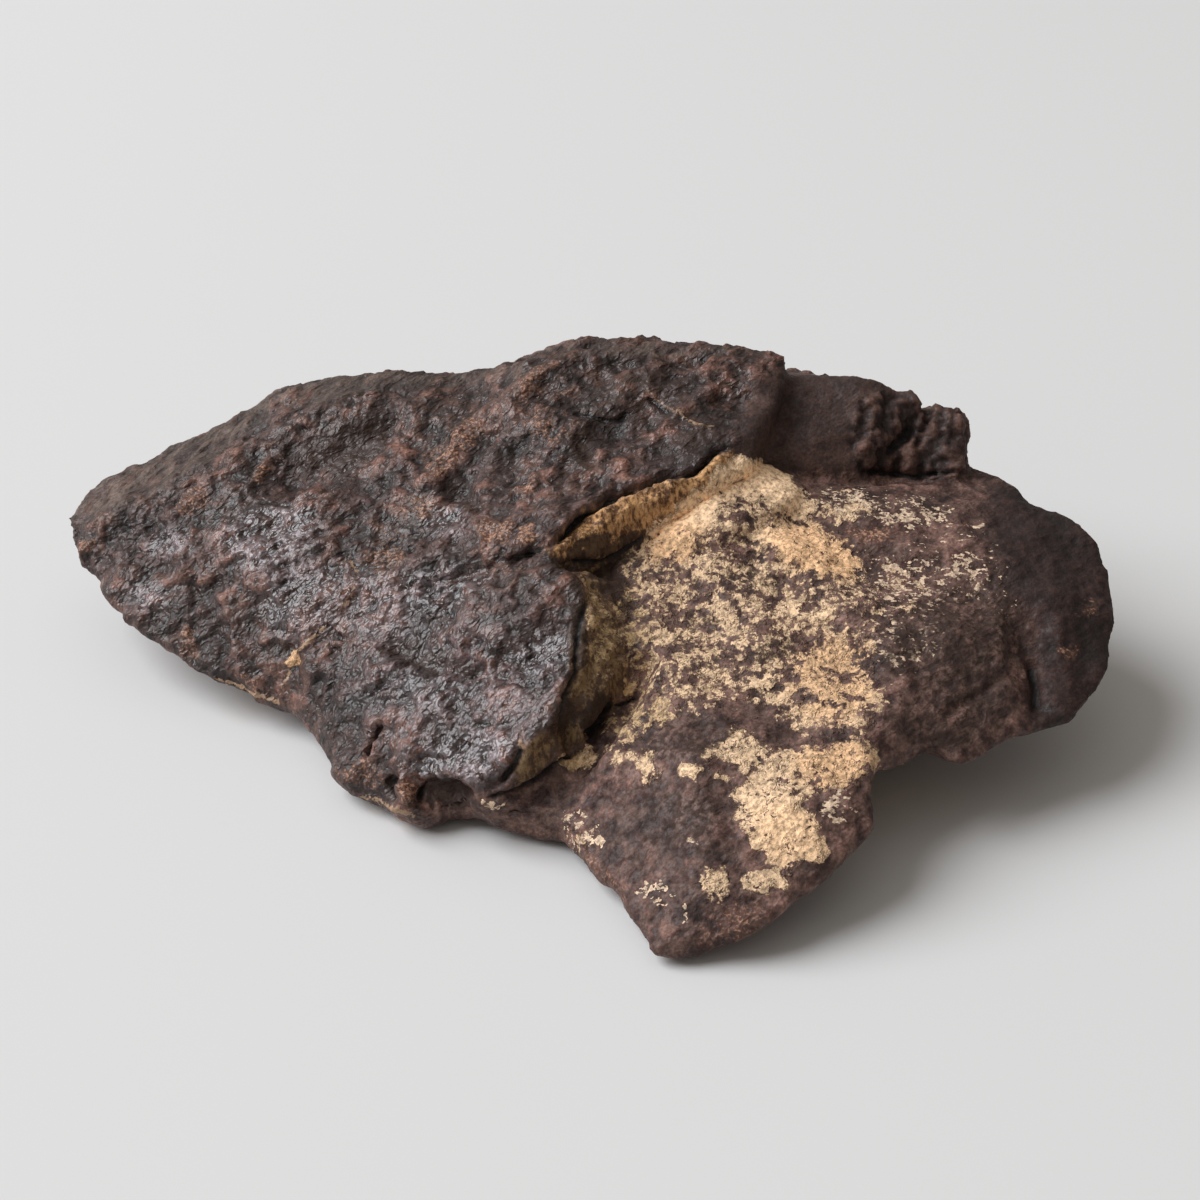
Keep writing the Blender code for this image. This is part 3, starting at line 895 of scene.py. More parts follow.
class Skin:
    """The stone's surface while it is worked, in millimetres."""

    LEAST_FACING = 0.06  # the cosine to the eye below which a face is too edge-on to be seen
    OFF_THE_SKIN = 0.03  # how far out a ray starts
    TOWARD_THE_EYE = 0.12  # and how far toward the eye
    LONGEST_RAY = 60.0
    PIXEL_STEP = 4.0  # pixels between the spots that a line runs through
    LONGEST_JUMP = 3.0  # a longer step between two spots crosses an edge and is left out
    LINE_REACH = 1.6  # how many half widths around a line are measured
    LINE_WANDER = 0.35  # how uneven a line's width is
    LINE_TAPER = 0.12  # the share of a line over which each end runs out
    PATCH_EDGE = (0.62, 1.30)  # where a patch fades out, in its half sizes
    FAR_AWAY = 1e9

    def __init__(self, mesh: bpy.types.Mesh, view: PhotoView) -> None:
        """Read the mesh.

        Args:
            mesh: The stone's mesh, in millimetres.
            view: The picture's view.
        """
        self.mesh = mesh
        self.view = view
        self.marks: dict[Mark, np.ndarray] = {}
        self.read()

    def read(self) -> None:
        """Read places, normals and edges again, and find what the camera sees."""
        count = len(self.mesh.vertices)
        self.places = np.empty(count * 3)
        self.mesh.vertices.foreach_get("co", self.places)
        self.places = self.places.reshape(-1, 3)
        self.normals = np.empty(count * 3)
        self.mesh.vertices.foreach_get("normal", self.normals)
        self.normals = self.normals.reshape(-1, 3)
        edges = np.empty(len(self.mesh.edges) * 2, dtype=np.int64)
        self.mesh.edges.foreach_get("vertices", edges)
        self.edges = edges.reshape(-1, 2)
        self.degree = np.maximum(np.bincount(self.edges.ravel(), minlength=count), 1)
        sheet = bmesh.new()
        sheet.from_mesh(self.mesh)
        self.tree = BVHTree.FromBMesh(sheet)
        sheet.free()
        self.pixels = self.view.pixels(self.places)
        self.seen = self.find_seen()

    def find_seen(self) -> np.ndarray:
        """Find which points the camera sees.

        Returns:
            True for each point that it sees.
        """
        eye = self.view.eye
        toward = eye - self.places
        toward /= np.linalg.norm(toward, axis=1, keepdims=True)
        facing = np.einsum("ij,ij->i", toward, self.normals)
        seen = facing > self.LEAST_FACING
        starts = self.places + self.normals * self.OFF_THE_SKIN + toward * self.TOWARD_THE_EYE
        for index in np.flatnonzero(seen).tolist():
            spot = self.tree.ray_cast(Vector(starts[index]), Vector(toward[index]), self.LONGEST_RAY)[0]
            seen[index] = spot is None
        return seen

    def hit(self, pixel: Pixel) -> np.ndarray | None:
        """Find the spot of the surface that shows at a pixel.

        Args:
            pixel: Across and down, in pixels of the picture.

        Returns:
            The spot, or None where the pixel shows the floor.
        """
        spot = self.tree.ray_cast(Vector(self.view.eye), self.view.ray(pixel))[0]
        return None if spot is None else np.array(spot)

    def even_out(self, values: np.ndarray, rounds: int, fixed: np.ndarray | None = None,
                 keep: float = 1.0) -> np.ndarray:
        """Spread values over the surface.

        Args:
            values: One value for each point.
            rounds: How many times they are averaged with their neighbours.
            fixed: Points whose values stay.
            keep: The share that is left after each round.

        Returns:
            The spread values.
        """
        result = values.copy()
        left, right = self.edges[:, 0], self.edges[:, 1]
        for _ in range(rounds):
            total = np.bincount(left, result[right], len(result))
            total = total + np.bincount(right, result[left], len(result))
            fresh = (0.5 * result + 0.5 * total / self.degree) * keep
            result = fresh if fixed is None else np.where(fixed, result, fresh)
        return result

    def line_share(self, line: Line) -> np.ndarray:
        """Measure how strongly a line works on each point.

        Args:
            line: The line along the picture's pixels.

        Returns:
            A share from 0 to 1 for each point.
        """
        spots = []
        for start, end in zip(line.path, line.path[1:]):
            steps = max(1, int(math.dist(start, end) / self.PIXEL_STEP))
            for step in range(steps + 1):
                share = step / steps
                across = start[0] + (end[0] - start[0]) * share
                down = start[1] + (end[1] - start[1]) * share
                spot = self.hit((across, down))
                if spot is not None:
                    spots.append(spot)
        result = np.zeros(len(self.places))
        if len(spots) < 2:
            return result
        path = np.array(spots)
        reach = line.half_width * self.LINE_REACH
        low, high = path.min(axis=0) - reach, path.max(axis=0) + reach
        near = np.flatnonzero(np.all((self.places > low) & (self.places < high), axis=1))
        points = self.places[near]
        gap = np.full(len(near), self.FAR_AWAY)
        along = np.zeros(len(near))
        for index, (start, end) in enumerate(zip(path, path[1:])):
            way = end - start
            size = way @ way
            if size < 1e-9 or size > self.LONGEST_JUMP ** 2:
                continue
            share = np.clip((points - start) @ way / size, 0.0, 1.0)
            far = np.linalg.norm(points - start - share[:, None] * way, axis=1)
            closer = far < gap
            gap = np.where(closer, far, gap)
            along = np.where(closer, (index + share) / (len(path) - 1), along)
        gap = gap * (1.0 + self.LINE_WANDER * clouds(points, 0.5, 3.1, 2))
        taper = soft_step(0.0, self.LINE_TAPER, along) * soft_step(0.0, self.LINE_TAPER, 1.0 - along)
        taper = taper * 0.75 + 0.25
        body = np.clip(1.0 - (gap / line.half_width) ** 2, 0.0, 1.0) ** 2
        result[near] = body * taper
        return result

    def bank_up(self, bank: Bank) -> None:
        """Raise the surface to a bank's slope.

        Args:
            bank: The bank.
        """
        path = np.array(bank.path)
        level = np.full(len(self.places), -self.FAR_AWAY)
        for start, end in zip(path, path[1:]):
            way = (end - start)[:2]
            share = np.clip((self.places[:, :2] - start[:2]) @ way / (way @ way), 0.0, 1.0)
            foot = start + share[:, None] * (end - start)
            gap = np.linalg.norm(self.places[:, :2] - foot[:, :2], axis=1)
            edge = bank.edge_drop * soft_step(bank.reach * 0.6, bank.reach, gap)
            level = np.maximum(level, foot[:, 2] - bank.slope * gap - edge)
        height = self.places[:, 2]
        low = (height < level) & (height > level - bank.deepest) & (self.normals[:, 2] > -0.3)
        raised = np.where(low, level, height)
        touched = self.even_out(low.astype(float), 2) > 0.05
        self.places[:, 2] = np.where(touched, self.even_out(raised, 2), raised)
        self.write()
        self.read()

    def region_share(self, region: Region) -> np.ndarray:
        """Measure which points lie in a region of the picture.

        Args:
            region: The region's outline in pixels.

        Returns:
            A share from 0 outside to 1 inside for each point.
        """
        points = self.pixels
        inside = np.zeros(len(points), dtype=bool)
        gap = np.full(len(points), self.FAR_AWAY)
        corners = region.outline
        for (x0, y0), (x1, y1) in zip(corners, corners[1:] + corners[:1]):
            crosses = (y0 > points[:, 1]) != (y1 > points[:, 1])
            if y1 != y0:
                turn = x0 + (points[:, 1] - y0) * (x1 - x0) / (y1 - y0)
                inside ^= crosses & (points[:, 0] < turn)
            way = np.array([x1 - x0, y1 - y0], dtype=float)
            share = np.clip((points - (x0, y0)) @ way / (way @ way), 0.0, 1.0)
            gap = np.minimum(gap, np.linalg.norm(points - (x0, y0) - share[:, None] * way, axis=1))
        depth = np.where(inside, gap, -gap)
        return soft_step(-region.soft, region.soft, depth)

    def patch_share(self, patch: Patch) -> np.ndarray:
        """Measure how deep each point lies in an oval patch.

        Args:
            patch: The patch in pixels.

        Returns:
            A share from 0 outside to 1 in the middle for each point.
        """
        turn = math.radians(patch.turn)
        away = self.pixels - patch.middle
        along = (away[:, 0] * math.cos(turn) + away[:, 1] * math.sin(turn)) / patch.half[0]
        across = (-away[:, 0] * math.sin(turn) + away[:, 1] * math.cos(turn)) / patch.half[1]
        return 1.0 - soft_step(*self.PATCH_EDGE, np.hypot(along, across))

    def write(self) -> None:
        """Put places and marks back into the mesh."""
        self.mesh.vertices.foreach_set("co", self.places.ravel())
        for mark, values in self.marks.items():
            layer = self.mesh.attributes.get(mark.value)
            layer = layer or self.mesh.attributes.new(mark.value, "FLOAT", "POINT")
            layer.data.foreach_set("value", values.astype(np.float32))
        self.mesh.update()


# The finish


@dataclass(frozen=True)
class Grain:
    """The patterns that the finish is mixed from."""

    where: Value
    warp: Value
    fine: Value
    small: Value
    middle: Value
    broad: Value
    creases: Value
    wrinkles: Value


@dataclass(frozen=True)
class WeatheredCrust:
    """The stone's finish: dark hammered crust, plum ground, rust, ochre and the tan mineral crust.

    An edge is the span of a pattern over which a layer begins, a cover is the share of it that shows
    where it is full, and heights are in millimetres.
    """

    slab_dark: Colour = (0.030, 0.014, 0.010)
    slab_mid: Colour = (0.136, 0.064, 0.046)
    slab_char: Colour = (0.080, 0.047, 0.042)
    # bluish grey laid where the slab glints: painted sheen over the real gloss
    slab_grey_and_painted_sheen: Colour = (0.142, 0.106, 0.112)
    plate_dark: Colour = (0.060, 0.026, 0.020)
    plate_mid: Colour = (0.168, 0.094, 0.074)
    dusty: Colour = (0.120, 0.085, 0.068)
    rust_deep: Colour = (0.120, 0.056, 0.036)
    rust_bright: Colour = (0.540, 0.290, 0.180)
    ochre_deep: Colour = (0.095, 0.038, 0.013)
    ochre_bright: Colour = (0.720, 0.400, 0.170)
    olive_deep: Colour = (0.082, 0.043, 0.022)
    olive_bright: Colour = (0.275, 0.172, 0.078)
    cream: Colour = (0.880, 0.620, 0.390)
    cream_warm: Colour = (0.900, 0.560, 0.310)
    cream_olive: Colour = (0.540, 0.365, 0.180)
    fleck: Colour = (0.830, 0.620, 0.440)
    vein: Colour = (0.44, 0.28, 0.17)
    # dark brown of the stains, also the painted shade in hollows and along edges
    stain_and_shade: Colour = (0.034, 0.016, 0.010)
    # painted shade in the cracks and undercuts
    crack: Colour = (0.010, 0.006, 0.005)
    dust_tan: Colour = (0.300, 0.180, 0.120)
    back_dark: Colour = (0.064, 0.032, 0.024)
    lobe_dark: Colour = (0.030, 0.013, 0.010)

    # the tone from painted shade in hollows to lighter raised spots
    height_shade_tones: Span = (0.48, 1.55)
    rust_edge: Span = (0.44, 0.64)
    rust_cover: float = 0.70
    dusting_edge: Span = (0.30, 0.52)
    dusting_cover: float = 0.60
    crust_edge: Span = (0.47, 0.56)
    dome_edge: Span = (0.46, 0.62)
    fleck_edge: Span = (0.61, 0.71)
    vein_edge: Span = (1.95, 2.35)
    vein_cover: float = 0.8
    stain_and_shade_edge: Span = (0.66, 0.86)
    stain_and_shade_cover: float = 0.85
    crack_shade_edge: Span = (0.10, 0.85)

    roughness: Span = (0.38, 0.66)
    roughest: float = 0.95
    sheen_polish: float = -0.20
    matte_roughness: float = 0.20
    crust_roughness: float = 0.30
    sheen_coat: float = 0.55
    stray_coat: float = 0.14
    coat_roughness: float = 0.32
    coat_ior: float = 1.75
    ior: float = 1.50

    crease_height: float = 0.075
    wrinkle_height: float = 0.030
    grain_height: float = 0.075
    crust_height: float = 0.09

    def make(self) -> bpy.types.Material:
        """Lay out the material.

        Returns:
            The material.
        """
        material = bpy.data.materials.new("weathered crust")
        bench = Bench(material)
        where = bench.place()
        along = bench.place((FOLD_STRETCH, 1.0, 1.0), FOLD_TURN)
        grain = Grain(
            where=where,
            warp=bench.cloud(where, 3.0, 1.0, 0.6, output="Color"),
            fine=bench.cloud(where, 2.4, 2.0, 0.6),
            small=bench.cloud(where, 5.5, 1.0, 0.6),
            middle=bench.cloud(where, 1.0, 4.0, 0.65),
            broad=bench.cloud(where, 0.30, 2.0, 0.5),
            creases=self.wrinkles(bench.cloud(along, 1.05, 2.0, 0.60)),
            wrinkles=self.wrinkles(bench.cloud(along, 2.2, 1.0, 0.5)),
        )
        colour = self.ground(bench, grain)
        colour = self.walls(bench, colour, grain)
        colour = self.rust(bench, colour, grain)
        density = bench.mark(Mark.CRUST)
        mottling_and_painted_light = bench.cloud(where, 3.4, 3.0, 0.7).step(0.36, 0.62, 0.50, 1.12)
        # dense crust is lightened: partly its paler colour, partly painted light on the cream at the
        # wall's foot, which lies in the wall's shade
        mottling_and_painted_light = mottling_and_painted_light * density.step(0.6, 1.3, 1.0, 1.55)
        colour, crust, domes = self.mineral(bench, colour, grain, density, mottling_and_painted_light)
        colour, flecks = self.flecks(bench, colour, mottling_and_painted_light)
        colour = self.veins(bench, colour, grain)
        bench.feed("Base Color", self.shadows(bench, colour, grain))
        self.gloss(bench, bench.largest(crust, flecks), grain)
        self.relief(bench, domes, grain)
        bench.feed("IOR", self.ior)
        return material

    def wrinkles(self, pattern: Value) -> Value:
        """Turn noise into thin raised wrinkles, from 0 to 1."""
        return 1.0 - (abs(pattern - 0.5) * 7.0).at_most(1.0)

    def ground(self, bench: Bench, grain: Grain) -> Value:
        """Lay out the ground colours of the plates, with painted sheen on the slab and painted shade in
        the hollows.

        Args:
            bench: The node bench.
            grain: The patterns of the grain.

        Returns:
            The ground colour.
        """
        brown = bench.blend(grain.broad.step(0.38, 0.62), self.slab_char, self.slab_mid)
        slab = bench.blend(grain.middle.step(0.38, 0.62), self.slab_dark, brown)
        # painted sheen: lighter grey where the slab glints
        grey = bench.mark(Mark.SHEEN) * grain.fine.step(0.38, 0.58)
        slab = bench.blend(grey, slab, self.slab_grey_and_painted_sheen)
        streaks = bench.cloud(bench.place((7.0, 1.0, 1.0), 48.0), 1.9, 3.0, 0.6)
        slab = bench.blend(bench.mark(Mark.DUST) * streaks.step(0.36, 0.60), slab, self.dusty)
        plate = bench.blend(grain.middle.step(0.36, 0.60), self.plate_dark, self.plate_mid)
        colour = bench.blend(bench.mark(Mark.PLATE), slab, plate)
        colour = bench.blend(bench.mark(Mark.LOBE), colour, self.lobe_dark)
        colour = bench.blend(bench.mark(Mark.BACK), colour, self.back_dark)
        tone = bench.cloud(grain.where, 0.42, 2.0, 0.5).step(0.32, 0.68, 0.76, 1.26)
        tone = tone * grain.small.step(0.32, 0.70, 0.74, 1.26)
        # darker between the raised folds and in the hollows: painted shade; lighter on raised spots
        tone = tone * grain.creases.step(0.0, 0.7, 0.74, 1.10)
        tone = tone * bench.mark(Mark.HEIGHT_SHADE).step(0.05, 0.95, *self.height_shade_tones)
        return bench.shade(colour, tone)

    def walls(self, bench: Bench, colour: Value, grain: Grain) -> Value:
        """Lay the ochre and the olive of the broken walls over the ground.

        Args:
            bench: The node bench.
            colour: The ground colour.
            grain: The patterns of the grain.

        Returns:
            The colour with the walls.
        """
        fibres = bench.cloud(bench.place((0.8, 0.8, 1.9)), 3.2, 3.0, 0.7)
        wall = (fibres * 0.6 + grain.middle * 0.4).step(0.40, 0.60)
        wall = bench.blend(wall, self.ochre_deep, self.ochre_bright)
        colour = bench.blend(bench.mark(Mark.WALL), colour, wall)
        slope = (grain.middle * 0.5 + fibres * 0.5).step(0.44, 0.58)
        slope = bench.blend(slope, self.olive_deep, self.olive_bright)
        return bench.blend(bench.mark(Mark.SLOPE), colour, slope)

    def rust(self, bench: Bench, colour: Value, grain: Grain) -> Value:
        """Lay rust over the ground and the walls.

        Args:
            bench: The node bench.
            colour: The colour with the walls.
            grain: The patterns of the grain.

        Returns:
            The rusty colour.
        """
        rust = bench.mark(Mark.RUST)
        spread = grain.fine * 0.45 + grain.middle * 0.40 + bench.mark(Mark.HEIGHT_SHADE) * 0.15
        spread = (spread + (rust - 0.40) * 0.36).step(*self.rust_edge)
        glow = (grain.small + (rust - 0.75) * 0.22).step(0.46, 0.62)
        tint = bench.blend(glow, self.rust_deep, self.rust_bright)
        return bench.blend(spread * self.rust_cover, colour, tint)

    def mineral(self, bench: Bench, colour: Value, grain: Grain, density: Value,
                mottling_and_painted_light: Value) -> tuple[Value, Value, Value]:
        """Lay the tan mineral crust and its dust over the stone.

        Args:
            bench: The node bench.
            colour: The rusty colour.
            grain: The patterns of the grain.
            density: How dense the crust is.
            mottling_and_painted_light: Its light and dark spots, and painted light on the densest
                crust.

        Returns:
            The colour, the crust's share and the crust's rise.
        """
        where = grain.where
        bent = bench.bend(where, grain.warp, 0.30)
        islands = bench.cloud(where, 0.75, 2.0, 0.5).step(0.32, 0.68)
        spots = bench.cloud(where, 2.1, 3.0, 0.6)
        dots = bench.cloud(bent, 5.0, 2.0, 0.6).step(0.30, 0.70)
        lobes = bench.cells(bent, 2.0).step(0.10, 0.85, 1.0, 0.0)
        pits = bench.cloud(bent, 3.4, 1.0, 0.6).step(0.58, 0.68, 0.0, 0.34) * density.step(0.5, 0.8)
        level = islands * 0.29 + spots.step(0.30, 0.70) * 0.34 + dots * 0.17 + lobes * 0.25
        level = level + (density - 0.5) * 0.95 - pits
        dusting = level.step(*self.dusting_edge, 0.0, self.dusting_cover) * density.step(0.15, 0.45)
        colour = bench.blend(dusting, colour, self.dust_tan)
        there = density.step(0.02, 0.14)
        crust = level.step(*self.crust_edge) * there
        cream = bench.blend(bench.mark(Mark.WARM), self.cream, self.cream_warm)
        cream = bench.blend(bench.mark(Mark.OLIVE), cream, self.cream_olive)
        colour = bench.blend(crust, colour, bench.shade(cream, mottling_and_painted_light))
        domes = (spots + (density - 0.5) * 0.45).step(*self.dome_edge) * there
        return colour, crust, domes

    def flecks(self, bench: Bench, colour: Value, mottling_and_painted_light: Value) -> tuple[Value, Value]:
        """Scatter the pale flecks.

        Args:
            bench: The node bench.
            colour: The colour with the mineral crust.
            mottling_and_painted_light: The light and dark spots of the crust, and painted light on the
                densest crust.

        Returns:
            The colour and the flecks' share.
        """
        drawn_out = bench.place((1.35, 1.0, 1.0), -4.0)
        chips = bench.cloud(drawn_out, 2.2, 3.0, 0.65).step(0.32, 0.68)
        slivers = bench.cloud(drawn_out, 5.0, 1.0, 0.65).step(0.30, 0.70)
        density = bench.mark(Mark.FLECK)
        level = chips * 0.64 + slivers * 0.36 + (density - 0.5) * 0.9
        flecks = level.step(*self.fleck_edge) * density.step(0.02, 0.16)
        return bench.blend(flecks, colour, bench.shade(self.fleck, mottling_and_painted_light)), flecks

    def veins(self, bench: Bench, colour: Value, grain: Grain) -> Value:
        """Draw the broken tan veins and rims.

        Args:
            bench: The node bench.
            colour: The colour with the flecks.
            grain: The patterns of the grain.

        Returns:
            The colour with the veins.
        """
        pale = bench.mark(Mark.PALE)
        level = pale + (grain.small * 1.4 + grain.fine * 1.8)
        veins = level.step(*self.vein_edge) * pale.step(0.05, 0.3)
        return bench.blend(veins * self.vein_cover, colour, self.vein)

    def shadows(self, bench: Bench, colour: Value, grain: Grain) -> Value:
        """Lay the dark stains, and the painted shade of the hollows, the edges and the cracks, over
        everything.

        Args:
            bench: The node bench.
            colour: The colour with the veins.
            grain: The patterns of the grain.

        Returns:
            The finished colour.
        """
        # real stains, and painted shade where the patches lie in hollows and along edges
        stain_and_shade = bench.mark(Mark.STAIN_AND_SHADE)
        level = grain.fine * 0.7 + grain.small * 0.3 + stain_and_shade * 0.55
        share = level.step(*self.stain_and_shade_edge) * stain_and_shade.step(0.05, 0.45)
        colour = bench.blend(share * self.stain_and_shade_cover, colour, self.stain_and_shade)
        return bench.blend(bench.mark(Mark.SHADE).step(*self.crack_shade_edge), colour, self.crack)

    def gloss(self, bench: Bench, crust: Value, grain: Grain) -> None:
        """Lay out the roughness, and the thin coat that glints on the slab.

        Args:
            bench: The node bench.
            crust: The share of the mineral crust and the flecks.
            grain: The patterns of the grain.
        """
        sheen = bench.mark(Mark.SHEEN)
        matte = bench.largest(*(bench.mark(mark) for mark in MATTE), bench.mark(Mark.LOBE) * 0.7)
        rough = grain.fine.step(0.36, 0.64, *self.roughness) + sheen * self.sheen_polish
        rough = rough + matte * self.matte_roughness + crust * self.crust_roughness
        bench.feed("Roughness", rough.at_most(self.roughest))
        glaze = sheen * grain.fine.step(0.36, 0.54) * self.sheen_coat
        glaze = glaze + grain.broad.step(0.42, 0.60, 0.0, self.stray_coat)
        bench.feed("Coat Weight", glaze * (1.0 - bench.largest(matte, crust)))
        bench.feed("Coat Roughness", self.coat_roughness)
        bench.feed("Coat IOR", self.coat_ior)

    def relief(self, bench: Bench, domes: Value, grain: Grain) -> None:
        """Lay out the finest relief.

        Args:
            bench: The node bench.
            domes: The mineral crust's rise.
            grain: The patterns of the grain.
        """
        plate = bench.mark(Mark.PLATE) * 0.6
        smooth = bench.largest(bench.mark(Mark.BACK), bench.mark(Mark.LOBE), plate)
        height = grain.creases * self.crease_height + grain.wrinkles * self.wrinkle_height
        height = height * (1.0 - smooth * 0.75)
        height = height + grain.fine * self.grain_height + domes * self.crust_height
        normal = bench.lift(height, 1.0)
        bench.feed("Normal", normal)
        bench.feed("Coat Normal", normal)


# The stone


@dataclass(frozen=True)
class Relief:
    """How far each layer of the worked relief rises, in millimetres."""

    swell: float = 0.10
    slab_swell: float = 0.08
    slab_waves: float = 0.20
    slab_folds: float = 0.17
    plate_folds: float = 0.04
    slab_wrinkles: float = 0.105
    plate_wrinkles: float = 0.045
    slab_bumps: float = 0.060
    wall_lumps: float = 0.26
    grit: float = 0.02
    slab_grit: float = 0.06
    plate_grit: float = 0.07
    end_grooves: float = 0.46
    end_pits: float = 0.24
    crust: float = 0.08


@dataclass
class MeteoriteStone:
    """The whole stone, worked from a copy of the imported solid.

    Lengths are in millimetres. Outlines wander by pixels of the picture, and the far values are the
    strengths of the marks where the picture doesn't look.
    """

    view: PhotoView
    voxel: float = 0.21
    rounding: int = 7
    most_triangles: int = 190000
    outline_wander: float = 7.0
    far_crust: float = 0.46
    far_warmth: float = 0.5
    far_rust: float = 0.55
    far_plate: float = 0.8
    bend: float = 0.45
    wave_turn: float = 46.0
    wave_stretch: float = 2.4
    relief: Relief = field(default_factory=Relief)
    finish: WeatheredCrust = field(default_factory=WeatheredCrust)

    def build(self) -> bpy.types.Object:
        """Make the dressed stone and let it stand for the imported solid.

        Returns:
            The stone's object.
        """
        mesh = self.rough_out()
        skin = Skin(mesh, self.view)
        for bank in BANKS.values():
            skin.bank_up(bank)
        LOG.info("roughed out: %d points, %d seen", len(skin.places), int(skin.seen.sum()))
        self.mark_regions(skin)
        self.mark_patches(skin)
        self.mark_unseen(skin)
        self.work_lines(skin)
        self.work_grain(skin)
        skin.write()
        mesh = self.thin_unseen(mesh, skin)
        mesh.transform(Matrix.Scale(MM, 4))
        mesh.materials.append(self.finish.make())
        mesh.shade_smooth()
        stone = bpy.data.objects.new("weathered_stone", mesh)
        bpy.context.scene.collection.objects.link(stone)
        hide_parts("stone")
        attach(stone, "root")
        return stone

    def rough_out(self) -> bpy.types.Mesh:
        """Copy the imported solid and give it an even, rounded skin of small faces.

        Returns:
            The new mesh, in millimetres.
        """
        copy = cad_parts["stone"].data.copy()
        sheet = bmesh.new()
        sheet.from_mesh(copy)
        bmesh.ops.remove_doubles(sheet, verts=sheet.verts, dist=1e-6)
        bmesh.ops.scale(sheet, vec=(1 / MM, 1 / MM, 1 / MM), verts=sheet.verts)
        sheet.to_mesh(copy)
        sheet.free()
        blank = bpy.data.objects.new("blank", copy)
        bpy.context.scene.collection.objects.link(blank)
        even = blank.modifiers.new("even", "REMESH")
        even.mode = "VOXEL"
        even.voxel_size = self.voxel
        even.adaptivity = 0.0
        soften = blank.modifiers.new("soften", "SMOOTH")
        soften.factor = 0.5
        soften.iterations = self.rounding
        graph = bpy.context.evaluated_depsgraph_get()
        mesh = bpy.data.meshes.new_from_object(blank.evaluated_get(graph))
        mesh.name = "weathered_stone"
        bpy.data.objects.remove(blank)
        bpy.data.meshes.remove(copy)
        mesh.materials.clear()
        return mesh

    def thin_unseen(self, mesh: bpy.types.Mesh, skin: Skin) -> bpy.types.Mesh:
        """Use fewer and larger faces where the picture doesn't look.

        Args:
            mesh: The worked mesh.
            skin: Its skin.

        Returns:
            The thinner mesh.
        """
        near = skin.even_out(skin.seen.astype(float), 4)
        unseen = np.flatnonzero(near < 0.02).tolist()
        body = bpy.data.objects.new("worked", mesh)
        bpy.context.scene.collection.objects.link(body)
        group = body.vertex_groups.new(name="unseen")
        group.add(unseen, 1.0, "REPLACE")
        thin = body.modifiers.new("thin", "DECIMATE")
        thin.ratio = self.most_triangles / count_triangles(mesh)
        thin.vertex_group = group.name
        graph = bpy.context.evaluated_depsgraph_get()
        result = bpy.data.meshes.new_from_object(body.evaluated_get(graph))
        result.name = mesh.name + "_thin"
        bpy.data.objects.remove(body)
        bpy.data.meshes.remove(mesh)
        return result

    def mark_regions(self, skin: Skin) -> None:
        """Give each point the share of the region it lies in.

        Args:
            skin: The stone's skin.
        """
        for mark in Mark:
            skin.marks[mark] = np.zeros(len(skin.places))
        wander = np.stack([clouds(skin.places, 0.8, seed, 3) for seed in (61.0, 67.0)], axis=1)
        skin.pixels = skin.pixels + wander * self.outline_wander
        for region in REGIONS.values():
            share = np.where(skin.seen, skin.region_share(region) * region.strength, 0.0)
            skin.marks[region.mark] = np.maximum(skin.marks[region.mark], share)
        for mark in GROUNDS:
            keep = 1.0 if mark is Mark.PLATE else 0.97
            skin.marks[mark] = skin.even_out(skin.marks[mark], 60, skin.seen, keep)

    def mark_patches(self, skin: Skin) -> None:
        """Lay the named patches over the surface.

        Args:
            skin: The stone's skin.
        """
        for mark, patches in PATCHES.items():
            for patch in patches.values():
                share = np.where(skin.seen, skin.patch_share(patch) * patch.strength, 0.0)
                skin.marks[mark] = np.maximum(skin.marks[mark], share)
            skin.marks[mark] = skin.even_out(skin.marks[mark], 40, skin.seen, 0.985)
        for mark in (Mark.CRUST, Mark.RUST, Mark.SHEEN):
            skin.marks[mark] = skin.even_out(skin.marks[mark], 3)

    def mark_unseen(self, skin: Skin) -> None:
        """Carry the crust and the rust on, more sparsely, where the picture doesn't look.

        Args:
            skin: The stone's skin.
        """
        far = 1.0 - skin.even_out(skin.seen.astype(float), 30)
        below = 1.0 - soft_step(-0.35, 0.15, skin.normals[:, 2])
        tan = soft_step(0.10, 0.75, clouds(skin.places, 8.0, 83.0, 3))
        red = soft_step(-0.05, 0.60, clouds(skin.places, 6.0, 89.0, 3))
        shares = {
            Mark.CRUST: far * tan * self.far_crust,
            Mark.WARM: far * self.far_warmth,
            Mark.RUST: far * red * self.far_rust,
            Mark.PLATE: far * below * self.far_plate,
        }
        for mark, share in shares.items():
            skin.marks[mark] = np.maximum(skin.marks[mark], share)

    def work_lines(self, skin: Skin) -> None:
        """Cut the cracks and creases, paint shade along the cracks, and raise the ridges and veins.

        Args:
            skin: The stone's skin.
        """
        rise = np.zeros(len(skin.places))
        for name, line in LINES.items():
            share = skin.line_share(line)
            if share.max() <= 0.0:
                LOG.warning("line %s touches nothing", name)
            rise += line.rise * share
            # a crack also carries painted shade in its mark
            if line.cut is Cut.SHADED_CRACK:
                skin.marks[Mark.SHADE] = np.maximum(skin.marks[Mark.SHADE], share)
            if line.cut in (Cut.VEIN, Cut.RIM):
                skin.marks[Mark.PALE] = np.maximum(skin.marks[Mark.PALE], share)
        skin.places = skin.places + skin.normals * rise[:, None]

    def drawn_out(self, places: np.ndarray, turn: float, stretch: float) -> np.ndarray:
        """Draw a pattern's places out along a direction in plan.

        Args:
            places: Places in millimetres.
            turn: The direction in degrees from the stone's length.
            stretch: How much longer the pattern gets.

        Returns:
            The changed places.
        """
        cosine, sine = math.cos(math.radians(turn)), math.sin(math.radians(turn))
        along = places[:, 0] * cosine + places[:, 1] * sine
        across = places[:, 1] * cosine - places[:, 0] * sine
        return np.stack([along / stretch, across, places[:, 2]], axis=1)

